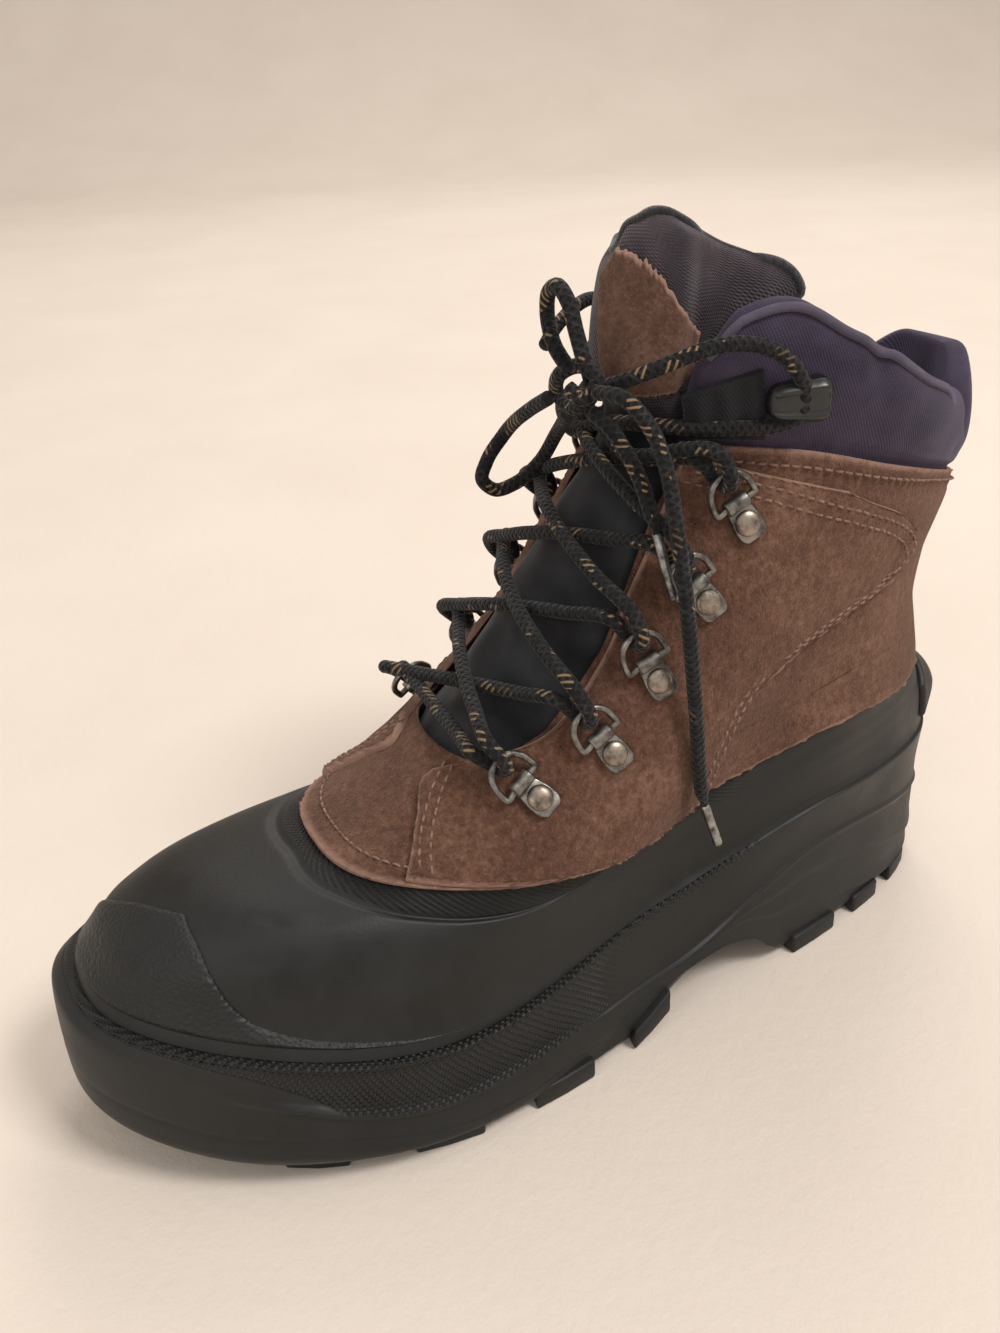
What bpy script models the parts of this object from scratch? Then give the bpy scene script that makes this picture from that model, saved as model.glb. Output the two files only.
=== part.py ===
# Left pac boot: moulded rubber bottom, suede upper, padded collar and tongue, laced
# Metres, +Z up, toe toward -Y, outer (lateral) side toward +X

from math import cos, pi, radians, sin

import bmesh
import bpy
import numpy as np
from mathutils import Matrix, Vector

# Driving sizes
SOLE_LENGTH = 0.320
BALL_WIDTH = 0.118
WAIST_WIDTH = 0.082
HEEL_WIDTH = 0.088
LEATHER_HEIGHT = 0.190
TOE_SWING = 0.016

# Walls, fits and small sizes
GAP = 0.0003
TAB_CLEARANCE = 0.0008
CAP_CLEARANCE = 0.0006
PATCH_CLEARANCE = 0.0009
OVERLAY_GAP = 0.0010
SHELL_WALL = 0.0028
LEATHER_WALL = 0.0018
OVERLAY_WALL = 0.0013
CAP_WALL = 0.0013
TONGUE_PAD = 0.008
INSOLE_WALL = 0.0045
LACE_DIAMETER = 0.0043
RING_WIRE = 0.0020
RING_WIDTH = 0.0150
RING_REACH = 0.0105
CLIP_WIDTH = 0.0075
CLIP_WALL = 0.0010
RIVET_DIAMETER = 0.0085
KEEPER_SIZE = (0.017, 0.011, 0.006)

# Rows of the last's table that the sole is made from
TREAD = 0
RIDGE_LOW = 2
RIDGE_HIGH = 3

# One row for each level of the last, bottom to top: tread, bumper, low ridge, high
# ridge, wall, wall middle, cap top, shell edge, instep, ankle, leather top, collar
# top and a row above it. Columns: back and front as shares of SOLE_LENGTH from its
# middle; height at the back, heel, waist, ball and front as shares of LEATHER_HEIGHT;
# half widths of the heel, waist and ball as shares of those widths; roundness of the
# back and front; shift of the toe to the inner side as a share of TOE_SWING
LAST_ROWS = (
    # back   front  z_back z_heel z_waist z_ball z_front  heel  waist  ball  r_back r_front swing
    (0.478, -0.456, 0.016, 0.016, 0.092, 0.016, 0.032, 0.466, 0.540, 0.475, 2.4, 2.4, 0.40),
    (0.481, -0.522, 0.084, 0.084, 0.105, 0.053, 0.142, 0.466, 0.525, 0.517, 2.4, 2.6, 0.97),
    (0.480, -0.516, 0.190, 0.242, 0.121, 0.108, 0.274, 0.460, 0.512, 0.504, 2.4, 2.6, 1.03),
    (0.481, -0.500, 0.326, 0.332, 0.250, 0.216, 0.300, 0.506, 0.476, 0.496, 2.4, 2.6, 0.91),
    (0.478, -0.491, 0.342, 0.342, 0.261, 0.229, 0.316, 0.489, 0.451, 0.475, 2.4, 2.5, 0.84),
    (0.475, -0.459, 0.400, 0.390, 0.316, 0.303, 0.390, 0.494, 0.433, 0.453, 2.3, 2.5, 0.69),
    (0.459, -0.388, 0.447, 0.437, 0.371, 0.363, 0.442, 0.500, 0.415, 0.428, 2.3, 2.6, 0.38),
    (0.441, -0.269, 0.490, 0.497, 0.437, 0.418, 0.455, 0.506, 0.409, 0.403, 2.3, 2.8, 0.06),
    (0.428, -0.131, 0.600, 0.600, 0.558, 0.558, 0.590, 0.477, 0.439, 0.373, 2.2, 2.4, 0.03),
    (0.431, -0.025, 0.716, 0.737, 0.737, 0.758, 0.790, 0.449, 0.476, 0.347, 2.1, 2.1, 0.00),
    (0.453, 0.063, 0.842, 0.895, 0.947, 0.995, 1.021, 0.449, 0.512, 0.331, 2.1, 2.0, 0.00),
    (0.469, 0.038, 0.990, 1.032, 1.116, 1.226, 1.126, 0.455, 0.543, 0.339, 2.0, 2.0, 0.00),
    (0.475, 0.044, 1.200, 1.242, 1.305, 1.379, 1.326, 0.455, 0.543, 0.339, 2.0, 2.0, 0.00),
)
HEIGHT_KEYS = (0.0, 0.22, 0.45, 0.70, 1.0)
WIDTH_KEYS = (0.0, 0.2, 0.45, 0.72, 1.0)
TOE_WIDTH_SHARE = 0.98
SWING_START = 0.45

# Half opening of the throat in turns of the last, by level
THROAT_ROWS = ((7.0, 0.048), (7.9, 0.048), (8.0, 0.060), (8.2, 0.072), (8.75, 0.080),
               (9.0, 0.078), (9.5, 0.066), (10.0, 0.066), (11.0, 0.060), (12.0, 0.055))
THROAT_BOTTOM = 7.9

# Side overlay: level, front edge and rear edge in turns from the back
QUARTER_ROWS = ((7.05, 0.436, 0.257), (7.25, 0.446, 0.259), (7.50, 0.461, 0.265), (7.75, 0.475, 0.274),
                (7.90, 0.456, 0.277), (8.15, 0.428, 0.280), (8.40, 0.420, 0.273), (8.60, 0.417, 0.252),
                (8.80, 0.416, 0.215), (9.00, 0.420, 0.157), (9.25, 0.424, 0.146), (9.50, 0.430, 0.168),
                (9.65, 0.431, 0.210), (9.74, 0.431, 0.260))

# Toe cap: its middle in turns, a little to the outer side of the toe's tip, and then
# distance from that middle in turns and level of its upper edge
CAP_MIDDLE = 23 / 48
CAP_ROWS = ((0.0, 5.78), (0.020, 5.50), (0.037, 5.10), (0.050, 4.72), (0.065, 4.45),
            (0.085, 4.32), (0.12, 4.24), (0.17, 4.12))

# Lacing stations on the outer side: rivet and ring, in turns and levels
LACE_STATIONS = ((0.405, 7.75, 0.427, 7.86), (0.378, 8.10, 0.400, 8.26), (0.372, 8.60, 0.392, 8.76),
                 (0.362, 9.10, 0.380, 9.20), (0.363, 9.55, 0.384, 9.68))

# Outsole lugs: middle and length along the sole as shares of SOLE_LENGTH, width
# toward the middle as a share of BALL_WIDTH
LUG_ROWS = ((-0.348, 0.055, 0.17), (-0.228, 0.068, 0.20), (-0.103, 0.072, 0.20), (0.010, 0.050, 0.17),
            (0.252, 0.070, 0.17), (0.345, 0.048, 0.18), (0.420, 0.045, 0.17))
CENTRE_LUG_ROWS = ((-0.385, 0.040, 0.26), (-0.290, 0.050, 0.30), (-0.170, 0.050, 0.34),
                   (-0.045, 0.050, 0.30), (0.232, 0.050, 0.30), (0.310, 0.045, 0.22), (0.400, 0.045, 0.24))

# Lace routes, chosen by hand in millimetres: knot, two loops and two ends
KNOT_ROUTE = ((11, 5, 207.5), (4, 4, 203), (-5, 4, 205), (2, 1, 213), (9.6, 3.5, 216), (15, 4.6, 213),
              (14, 0.6, 208.5), (9.7, -1.5, 211))
LOOP_A_ROUTE = ((5.5, -2, 220.5), (1.5, -1.5, 223.5), (-2.4, -0.3, 229), (-2, 0, 234), (3, 0, 236.7),
                (8, 0, 233.5), (11.4, 0.3, 226), (14, 1, 218.6))
LOOP_B_ROUTE = ((-3.5, 0, 205), (-13.6, -0.4, 199.4), (-28.9, -1.4, 187.9), (-30, -7, 180.4),
                (-29.7, -9, 175.2), (-28, -5.8, 171.7), (-25.4, 0, 173.2), (-23.4, 7.4, 178.7),
                (-17.4, 10.6, 189), (-3, 6, 199.5))
END_A_ROUTE = ((12.8, 4, 204), (17.4, 7, 200), (20.5, 9.5, 194.5), (27, 10.2, 187.5), (32.2, 10.2, 179.8),
               (35.5, 10.2, 174.3), (38.8, 10.4, 166.4), (41.4, 12.1, 156.6))
END_B_ROUTE = ((17.5, 2.3, 210.8), (26, 5.5, 210.5), (31, 10.5, 203), (36, 12.7, 192), (40.6, 12.3, 180.3),
               (45.9, 12.2, 162), (48.5, 14, 136), (49.3, 15.6, 116.3), (49.2, 18.5, 93), (49.5, 25.0, 73))

# Colours and finishes: red, green, blue, roughness, metallic
RUBBER = (0.030, 0.031, 0.030, 0.62, 0.0)
SUEDE = (0.140, 0.070, 0.045, 0.92, 0.0)
NYLON = (0.060, 0.050, 0.085, 0.85, 0.0)
FLEECE = (0.025, 0.024, 0.028, 0.95, 0.0)
PEWTER = (0.260, 0.235, 0.200, 0.38, 1.0)
PLASTIC = (0.020, 0.021, 0.022, 0.45, 0.0)
LACE_CLOTH = (0.022, 0.022, 0.022, 0.85, 0.0)


def start_scene():
    """Clear the scene and make one collection for the boot and one for its guides."""
    for item in list(bpy.data.objects):
        bpy.data.objects.remove(item, do_unlink=True)
    boot = bpy.data.collections.new("pac_boot")
    guides = bpy.data.collections.new("guides")
    bpy.context.scene.collection.children.link(boot)
    bpy.context.scene.collection.children.link(guides)
    return boot, guides


def material(name, finish):
    """A Principled material with one colour, roughness and metallic value."""
    result = bpy.data.materials.new(name)
    result.use_nodes = True
    shader = result.node_tree.nodes["Principled BSDF"]
    shader.inputs["Base Color"].default_value = (*finish[:3], 1.0)
    shader.inputs["Roughness"].default_value = finish[3]
    shader.inputs["Metallic"].default_value = finish[4]
    return result


# Curves through a few key values

def key_slopes(keys, values):
    """Slopes of a monotone cubic through key values."""
    steps = np.diff(keys).reshape((-1,) + (1,) * (values.ndim - 1))
    rises = np.diff(values, axis=0) / steps
    slopes = np.zeros_like(values)
    before = 2.0 * steps[1:] + steps[:-1]
    after = steps[1:] + 2.0 * steps[:-1]
    same = rises[:-1] * rises[1:] > 0.0
    low = np.where(same, rises[:-1], 1.0)
    high = np.where(same, rises[1:], 1.0)
    slopes[1:-1] = np.where(same, (before + after) / (before / low + after / high), 0.0)
    slopes[0] = rises[0]
    slopes[-1] = rises[-1]
    return slopes


def hermite(places, keys, values, slopes):
    """Cubic curve through key values with the given slopes."""
    keys = np.asarray(keys, float)
    low = np.clip(np.searchsorted(keys, places, side="right") - 1, 0, len(keys) - 2)
    step = keys[low + 1] - keys[low]
    share = (places - keys[low]) / step
    rise = values[low] * (1 + 2 * share) * (1 - share) ** 2
    rise = rise + slopes[low] * step * share * (1 - share) ** 2
    rise = rise + values[low + 1] * share ** 2 * (3 - 2 * share)
    return rise + slopes[low + 1] * step * share ** 2 * (share - 1)


def steady(places, keys, values):
    """Curve that never overshoots its key values."""
    values = np.asarray(values, float)
    return hermite(np.asarray(places, float), keys, values, key_slopes(np.asarray(keys, float), values))


def flowing(places, keys, values):
    """Curve that runs on smoothly through its key values."""
    values = np.asarray(values, float)
    return hermite(np.asarray(places, float), keys, values, np.gradient(values, np.asarray(keys, float)))


def from_rows(place, rows, column=1):
    """Value of a column of a short table at a place of its first column."""
    table = np.array(rows, float)
    return np.interp(place, table[:, 0], table[:, column])


def soft_step(value, start, end):
    """0 before start, 1 after end, smooth between."""
    share = np.clip((value - start) / (end - start), 0.0, 1.0)
    return share * share * (3.0 - 2.0 * share)


# The last: closed loops, one for each level, joined into one smooth surface

HALF_POINTS = 180


def level_loop(row):
    """Closed loop of one level: outer side from back to front, then the inner side."""
    back, front = row[0] * SOLE_LENGTH, row[1] * SOLE_LENGTH
    turn = np.linspace(0.0, 2.0 * pi, 4 * HALF_POINTS, endpoint=False)
    along, across = np.cos(turn), np.sin(turn)
    power = 2.0 / np.where(along > 0.0, row[10], row[11])
    y = (back + front) / 2 + (back - front) / 2 * np.sign(along) * np.abs(along) ** power
    share = (back - y) / (back - front)
    ball = row[9] * BALL_WIDTH
    half_widths = (row[7] * HEEL_WIDTH, row[7] * HEEL_WIDTH, row[8] * WAIST_WIDTH, ball, ball * TOE_WIDTH_SHARE)
    x = flowing(share, WIDTH_KEYS, half_widths) * np.sign(across) * np.abs(across) ** power
    forward = np.clip((share - SWING_START) / (1.0 - SWING_START), 0.0, 1.0)
    x = x - row[12] * TOE_SWING * forward ** 2
    z = steady(share, HEIGHT_KEYS, np.array(row[2:7]) * LEATHER_HEIGHT)
    return np.stack([x, y, z], axis=1)


def even_points(points, count):
    """The same line with its points evenly spaced."""
    lengths = np.linalg.norm(np.diff(points, axis=0), axis=1)
    run = np.concatenate([[0.0], np.cumsum(lengths)])
    places = np.linspace(0.0, run[-1], count)
    return np.stack([np.interp(places, run, points[:, axis]) for axis in range(3)], axis=1)


def even_loop(row):
    """Level loop whose two sides have the same number of evenly spaced points."""
    points = level_loop(row)
    middle = len(points) // 2
    outer = even_points(points[:middle + 1], HALF_POINTS + 1)
    inner = even_points(np.vstack([points[middle:], points[:1]]), HALF_POINTS + 1)
    return np.vstack([outer[:-1], inner[:-1]])


LEVELS = np.arange(len(LAST_ROWS), dtype=float)
LOOPS = np.stack([even_loop(row) for row in LAST_ROWS])
LOOP_SLOPES = key_slopes(LEVELS, LOOPS)


def last_point(turn, level):
    """Point of the last: turn 0 is the back, 0.25 the outer side, 0.5 the toe."""
    turn, level = np.broadcast_arrays(np.asarray(turn, float) % 1.0, np.asarray(level, float))
    place = turn * 2 * HALF_POINTS
    near = np.floor(place).astype(int) % (2 * HALF_POINTS)
    share = (place - np.floor(place))[..., None]
    low = np.clip(np.floor(level).astype(int), 0, len(LEVELS) - 2)
    rise = (level - low)[..., None]

    def column(index):
        point = LOOPS[low, index] * (1 + 2 * rise) * (1 - rise) ** 2
        point = point + LOOP_SLOPES[low, index] * rise * (1 - rise) ** 2
        point = point + LOOPS[low + 1, index] * rise ** 2 * (3 - 2 * rise)
        return point + LOOP_SLOPES[low + 1, index] * rise ** 2 * (rise - 1)

    return column(near) * (1 - share) + column((near + 1) % (2 * HALF_POINTS)) * share


def unit(vectors):
    """Vectors scaled to length 1."""
    return vectors / np.linalg.norm(vectors, axis=-1, keepdims=True)


def last_normal(turn, level):
    """Outward direction of the last."""
    around = last_point(np.asarray(turn) + 0.005, level) - last_point(np.asarray(turn) - 0.005, level)
    upward = last_point(turn, np.asarray(level) + 0.06) - last_point(turn, np.asarray(level) - 0.06)
    return unit(np.cross(upward, around))


def skin(turn, level, offset):
    """Point at a distance outside (+) or inside (-) the last."""
    return last_point(turn, level) + last_normal(turn, level) * np.asarray(offset)[..., None]


def flat_ring(level, offset, count):
    """Level loop moved outward in plan only, its height kept."""
    turns = np.arange(count) / count
    outward = last_normal(turns, np.full(count, float(level)))
    outward[:, 2] = 0.0
    return last_point(turns, level) + unit(outward) * offset


# Meshes

def add_mesh(name, points, faces, finish, collection):
    """Object from points and faces, shaded smooth."""
    mesh = bpy.data.meshes.new(name)
    mesh.from_pydata([tuple(point) for point in points], [], [tuple(face) for face in faces])
    mesh.validate()
    item = bpy.data.objects.new(name, mesh)
    item.data.materials.append(finish)
    collection.objects.link(item)
    mesh.shade_smooth()
    return item


def thick_sheet(name, outer, inner, quads, finish, collection):
    """Closed solid between an outer sheet and an inner sheet with the same quads."""
    count = len(outer)
    faces = [tuple(quad) for quad in quads]
    faces += [tuple(index + count for index in reversed(quad)) for quad in quads]
    edges = {}
    for quad in quads:
        for start, end in zip(quad, tuple(quad[1:]) + tuple(quad[:1])):
            edges[(start, end)] = True
    for start, end in edges:
        if (end, start) not in edges:
            faces.append((end, start, start + count, end + count))
    return add_mesh(name, np.vstack([outer, inner]), faces, finish, collection)


def grid_quads(rows, columns, closed=False, flip=False):
    """Quads of a grid of points, rows first; closed joins the last column to the first."""
    quads = []
    for row in range(rows - 1):
        for column in range(columns if closed else columns - 1):
            after = (column + 1) % columns
            quad = (row * columns + column, row * columns + after,
                    (row + 1) * columns + after, (row + 1) * columns + column)
            quads.append(tuple(reversed(quad)) if flip else quad)
    return quads


def strip_cap(ring, across):
    """Points and faces that close a ring of the last with strips from side to side."""
    half = len(ring) // 2
    points = []
    index = {}
    for row in range(1, half):
        near, far = ring[row], ring[-row]
        for column in range(1, across):
            index[(row, column)] = len(ring) + len(points)
            points.append(near + (far - near) * column / across)

    def corner(row, column):
        if column == 0 or row in (0, half):
            return row
        if column == across:
            return len(ring) - row
        return index[(row, column)]

    faces = []
    for row in range(half):
        for column in range(across):
            face = [corner(row, column), corner(row, column + 1), corner(row + 1, column + 1), corner(row + 1, column)]
            kept = [face[spot] for spot in range(4) if face[spot] != face[spot - 1]]
            if len(set(kept)) > 2:
                faces.append(tuple(kept))
    return points, faces


def ring_stack(name, rings, finish, collection, across):
    """Closed solid from rings, bottom cap first, up the outside and down the inside."""
    count = len(rings[0])
    bottom_points, bottom_faces = strip_cap(rings[0], across)
    top_points, top_faces = strip_cap(rings[-1], across)
    points = np.vstack(rings)
    faces = grid_quads(len(rings), count, closed=True, flip=True)
    start = len(points)
    faces += [tuple(i if i < count else i - count + start for i in face) for face in bottom_faces]
    points = np.vstack([points, bottom_points])
    base = (len(rings) - 1) * count
    start = len(points)
    faces += [tuple(i + base if i < count else i - count + start for i in reversed(face)) for face in top_faces]
    points = np.vstack([points, top_points])
    return add_mesh(name, points, faces, finish, collection)


def make_outward(item):
    """Turn all faces of a closed mesh to point out."""
    shape = bmesh.new()
    shape.from_mesh(item.data)
    bmesh.ops.recalc_face_normals(shape, faces=shape.faces)
    if shape.calc_volume(signed=True) < 0.0:
        bmesh.ops.reverse_faces(shape, faces=shape.faces)
    shape.to_mesh(item.data)
    shape.free()


def join_solids(item, others):
    """Boolean union of an object with others, which are then removed."""
    for other in others:
        union = item.modifiers.new("union", "BOOLEAN")
        union.operation = "UNION"
        union.solver = "EXACT"
        union.object = other
    bpy.context.view_layer.update()
    graph = bpy.context.evaluated_depsgraph_get()
    mesh = bpy.data.meshes.new_from_object(item.evaluated_get(graph))
    item.modifiers.clear()
    item.data = mesh
    for other in others:
        bpy.data.objects.remove(other, do_unlink=True)
    mesh.shade_smooth()
    mesh.set_sharp_from_angle(angle=radians(35))


# Sole

SOLE_RING = 48
# Level and offset in plan of each ring of the sole's side
SOLE_PROFILE = ((0.25, -0.0010), (0.55, 0.0004), (1.15, 0.0006), (1.86, 0.0000), (1.93, 0.0014), (2.06, 0.0015),
                (2.14, -0.0004), (2.50, -0.0008), (2.84, -0.0002), (2.90, 0.0012), (3.00, 0.0010))
SOLE_WALL = 0.0062
PLATE_SIDE_TOP = 1.86
LUG_ROOT = 0.0040
# Footbed height along the foot, back to front, as shares of LEATHER_HEIGHT
FOOTBED_ROWS = ((0.0, 0.150), (0.22, 0.140), (0.45, 0.155), (0.70, 0.100), (0.88, 0.105), (1.0, 0.130))
# Underside of the plate: place along the sole as a share of SOLE_LENGTH, height as
# a share of LEATHER_HEIGHT; low at the heel and ball, high at the arch and toe
PLATE_ROWS = ((-0.52, 0.090), (-0.44, 0.046), (-0.34, 0.018), (-0.015, 0.018), (0.030, 0.062), (0.075, 0.095),
              (0.120, 0.100), (0.165, 0.078), (0.205, 0.018), (0.48, 0.018))


def share_along(y):
    """Share of the way from the heel's back to the toe."""
    return (0.481 * SOLE_LENGTH - y) / SOLE_LENGTH


def plate_height(y):
    """Height of the plate's underside."""
    return steady(y / SOLE_LENGTH, [row[0] for row in PLATE_ROWS], [row[1] for row in PLATE_ROWS]) * LEATHER_HEIGHT


def footbed_height(y):
    """Height of the sole's inner floor."""
    return steady(share_along(y), [row[0] for row in FOOTBED_ROWS],
                  [row[1] for row in FOOTBED_ROWS]) * LEATHER_HEIGHT


def floor_ring(offset, lift=0.0):
    """Ring on the footbed, inside the sole's wall."""
    ring = flat_ring(RIDGE_LOW, offset, SOLE_RING)
    ring[:, 2] = footbed_height(ring[:, 1]) + lift
    return ring


def outline_at(y, side):
    """Half outline of the tread at a place along the sole."""
    turns = np.linspace(0.0, 0.5, 121) if side > 0 else np.linspace(1.0, 0.5, 121)
    points = last_point(turns, np.full(121, float(TREAD)))
    return float(np.interp(-y, -points[:, 1], points[:, 0]))


def ground_height(y):
    """Height of the lugs' faces: flat at the heel and the ball, raised at the toe and arch."""
    return 0.006 * soft_step(-y / SOLE_LENGTH, 0.34, 0.48) + 0.009 * soft_step(y, -0.006, 0.016) * (y < 0.05)


def lug(name, places, finish, collection):
    """Block of the tread from its outline in plan, clockwise seen from above."""
    low = [(x, y, ground_height(y)) for x, y in places]
    high = [(x, y, plate_height(y) + LUG_ROOT) for x, y in places]
    count = len(places)
    faces = [tuple(range(count)), tuple(reversed(range(count, 2 * count)))]
    faces += [((i + 1) % count, i, i + count, (i + 1) % count + count) for i in range(count)]
    item = add_mesh(name, low + high, faces, finish, collection)
    make_outward(item)
    return item


def side_lugs(finish, collection):
    """Slanted lugs along both edges of the tread."""
    lugs = []
    for side in (1, -1):
        for number, (middle, length, width) in enumerate(LUG_ROWS):
            y = middle * SOLE_LENGTH
            half = length * SOLE_LENGTH / 2
            depth = width * BALL_WIDTH
            slant = 0.4 * half if middle < 0.1 else -0.3 * half
            reach = 0.0016 * side
            outer = [(outline_at(y + step * half, side) + reach, y + step * half) for step in (-1.0, 0.0, 1.0)]
            inner = [(outline_at(y + step * half, side) - side * depth, y + step * half * 0.8 + slant)
                     for step in (1.0, -1.0)]
            lugs.append(lug(f"lug_{side}_{number}", outer + inner, finish, collection))
    return lugs


def centre_lugs(finish, collection):
    """Arrow-shaped lugs along the middle of the tread."""
    lugs = []
    for number, (middle, length, width) in enumerate(CENTRE_LUG_ROWS):
        y = middle * SOLE_LENGTH
        x = (outline_at(y, 1) + outline_at(y, -1)) / 2
        half = length * SOLE_LENGTH / 2
        wing = width * BALL_WIDTH / 2
        bend = half * 0.7
        places = [(x - wing, y - half + bend), (x, y - half), (x + wing, y - half + bend),
                  (x + wing, y + half + bend * 0.6), (x, y + half), (x - wing, y + half + bend * 0.6)]
        lugs.append(lug(f"lug_0_{number}", places, finish, collection))
    return lugs


def sole(finish, collection):
    """Rubber bottom: tread, stepped side, ledge for the shell and a hollow for the foot."""
    rings = [flat_ring(level, offset, SOLE_RING) for level, offset in SOLE_PROFILE]
    low = rings[0][:, 2].copy()
    top = flat_ring(PLATE_SIDE_TOP, 0.0, SOLE_RING)[:, 2]
    plate = plate_height(rings[0][:, 1])
    for (level, _), ring in zip(SOLE_PROFILE, rings):
        if level < PLATE_SIDE_TOP:
            ring[:, 2] = plate + (ring[:, 2] - low) / (top - low) * (top - plate)
    ledge = rings[-1][:, 2]
    inner_ledge = flat_ring(RIDGE_HIGH, -SOLE_WALL, SOLE_RING)
    inner_ledge[:, 2] = ledge
    rings.append(inner_ledge)
    rings.append(floor_ring(-SOLE_WALL - 0.0005, 0.004))
    rings.append(floor_ring(-SOLE_WALL - 0.0030))
    item = ring_stack("sole", rings, finish, collection, across=4)
    make_outward(item)
    join_solids(item, side_lugs(finish, collection) + centre_lugs(finish, collection))
    return item


def insole(finish, collection):
    """Loose footbed, domed slightly up at the heel's rim."""
    low = floor_ring(-SOLE_WALL - 0.0034, GAP)
    high = floor_ring(-SOLE_WALL - 0.0034, GAP + INSOLE_WALL)
    item = ring_stack("insole", [low, high], finish, collection, across=3)
    make_outward(item)
    return item


# Rubber shell and toe cap

SHELL_RING = 48
# Level and offset of the shell's outer rows; the last rows lie under the suede
SHELL_ROWS = ((4.0, 0.0), (4.7, 0.0), (5.5, 0.0), (6.38, 0.0), (6.46, -0.0006), (7.0, -0.0006), (7.32, -0.0006))
SHELL_FOOT_INSET = 0.0016
CAP_COLUMNS = 9


def shell(finish, collection):
    """Overshoe wall standing on the sole's ledge, with a stepped band for the seam."""
    turns = np.arange(SHELL_RING) / SHELL_RING
    foot = flat_ring(RIDGE_HIGH, 0.0, SHELL_RING)
    outward = last_normal(turns, np.full(SHELL_RING, 3.0))
    outward[:, 2] = 0.0
    outward = unit(outward)
    outer = [foot - outward * SHELL_FOOT_INSET + np.array([0.0, 0.0, GAP])]
    inner = [foot - outward * (SHELL_FOOT_INSET + SHELL_WALL) + np.array([0.0, 0.0, GAP])]
    for level, offset in SHELL_ROWS:
        outer.append(skin(turns, np.full(SHELL_RING, level), np.full(SHELL_RING, offset)))
        inner.append(skin(turns, np.full(SHELL_RING, level), np.full(SHELL_RING, -SHELL_WALL)))
    quads = grid_quads(len(outer), SHELL_RING, closed=True, flip=True)
    item = thick_sheet("shell", np.vstack(outer), np.vstack(inner), quads, finish, collection)
    make_outward(item)
    return item


def patch(name, turns, levels, low, high, finish, collection, rise=0.0):
    """Raised piece that follows the last between two offsets."""
    rows, columns = turns.shape
    outer = skin(turns, levels, np.broadcast_to(high, turns.shape))
    inner = skin(turns, levels, np.broadcast_to(low, turns.shape))
    outer[..., 2] += rise
    inner[..., 2] += rise
    outer = outer.reshape(-1, 3)
    inner = inner.reshape(-1, 3)
    item = thick_sheet(name, outer, inner, grid_quads(rows, columns), finish, collection)
    make_outward(item)
    return item


def toe_cap(finish, collection):
    """Textured bumper over the toe, thinning to a strip along the ledge."""
    aside = np.arange(-CAP_COLUMNS, CAP_COLUMNS + 1) / SHELL_RING
    top = from_rows(np.abs(aside), CAP_ROWS)
    shares = np.linspace(0.0, 1.0, 6)[:, None]
    levels = 4.02 + (top[None, :] - 4.02) * shares
    turns = np.broadcast_to(CAP_MIDDLE + aside, levels.shape)
    return patch("toe_cap", turns, levels, CAP_CLEARANCE, CAP_CLEARANCE + CAP_WALL, finish, collection)


def heel_tab(finish, collection):
    """Upright kick rib at the back of the shell."""
    aside = np.array([-0.034, -0.024, -0.012, 0.0, 0.012, 0.024, 0.034])
    shares = np.linspace(0.0, 1.0, 6)[:, None]
    rise = 1.0 - (aside[None, :] / 0.05) ** 2
    levels = 4.25 + (4.35 + 2.1 * rise - 4.25) * shares
    turns = np.broadcast_to(aside, levels.shape)
    bulge = 0.0016 + 0.0026 * np.sin(pi * np.clip(shares, 0.08, 0.92)) * (1.0 - (aside[None, :] / 0.045) ** 2)
    return patch("heel_tab", turns, levels, TAB_CLEARANCE, TAB_CLEARANCE + bulge, finish, collection)


# Suede upper

UPPER_SIDE = 16
UPPER_FRONT = 4
UPPER_LEVELS = (7.0, 7.25, 7.5, 7.75, THROAT_BOTTOM, 8.15, 8.4, 8.6, 8.8, 9.0, 9.25, 9.5, 9.75, 10.0)
UPPER_IN = GAP
UPPER_OUT = GAP + LEATHER_WALL


def throat_half(level):
    """Half opening of the throat in turns."""
    return from_rows(level, THROAT_ROWS)


def upper(finish, collection):
    """Suede wall: closed round the vamp, open up the throat."""
    turns, levels, index = [], [], {}
    closed_rows = UPPER_LEVELS.index(THROAT_BOTTOM) + 1
    for row, level in enumerate(UPPER_LEVELS):
        edge = 0.5 - throat_half(level)
        side = [edge * step / UPPER_SIDE for step in range(UPPER_SIDE + 1)]
        ring = [("side", step, side[step]) for step in range(UPPER_SIDE + 1)]
        if row < closed_rows:
            gap = throat_half(level)
            ring += [("front", step, 0.5 - gap + 2 * gap * step / UPPER_FRONT) for step in range(1, UPPER_FRONT)]
        ring += [("far", step, 1.0 - side[step]) for step in range(UPPER_SIDE, 0, -1)]
        for kind, step, turn in ring:
            index[(row, kind, step)] = len(turns)
            turns.append(turn)
            levels.append(level)
    order = [("side", step) for step in range(UPPER_SIDE + 1)]
    order += [("front", step) for step in range(1, UPPER_FRONT)]
    order += [("far", step) for step in range(UPPER_SIDE, 0, -1)]
    quads = []
    for row in range(len(UPPER_LEVELS) - 1):
        for spot, key in enumerate(order):
            after = order[(spot + 1) % len(order)]
            corners = [(row, *key), (row, *after), (row + 1, *after), (row + 1, *key)]
            if all(corner in index for corner in corners):
                quads.append(tuple(index[corner] for corner in reversed(corners)))
    turns, levels = np.array(turns), np.array(levels)
    outer = skin(turns, levels, np.full(len(turns), UPPER_OUT))
    inner = skin(turns, levels, np.full(len(turns), UPPER_IN))
    item = thick_sheet("upper", outer, inner, quads, finish, collection)
    make_outward(item)
    return item


OVERLAY_IN = UPPER_OUT + OVERLAY_GAP
OVERLAY_OUT = OVERLAY_IN + OVERLAY_WALL


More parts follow.
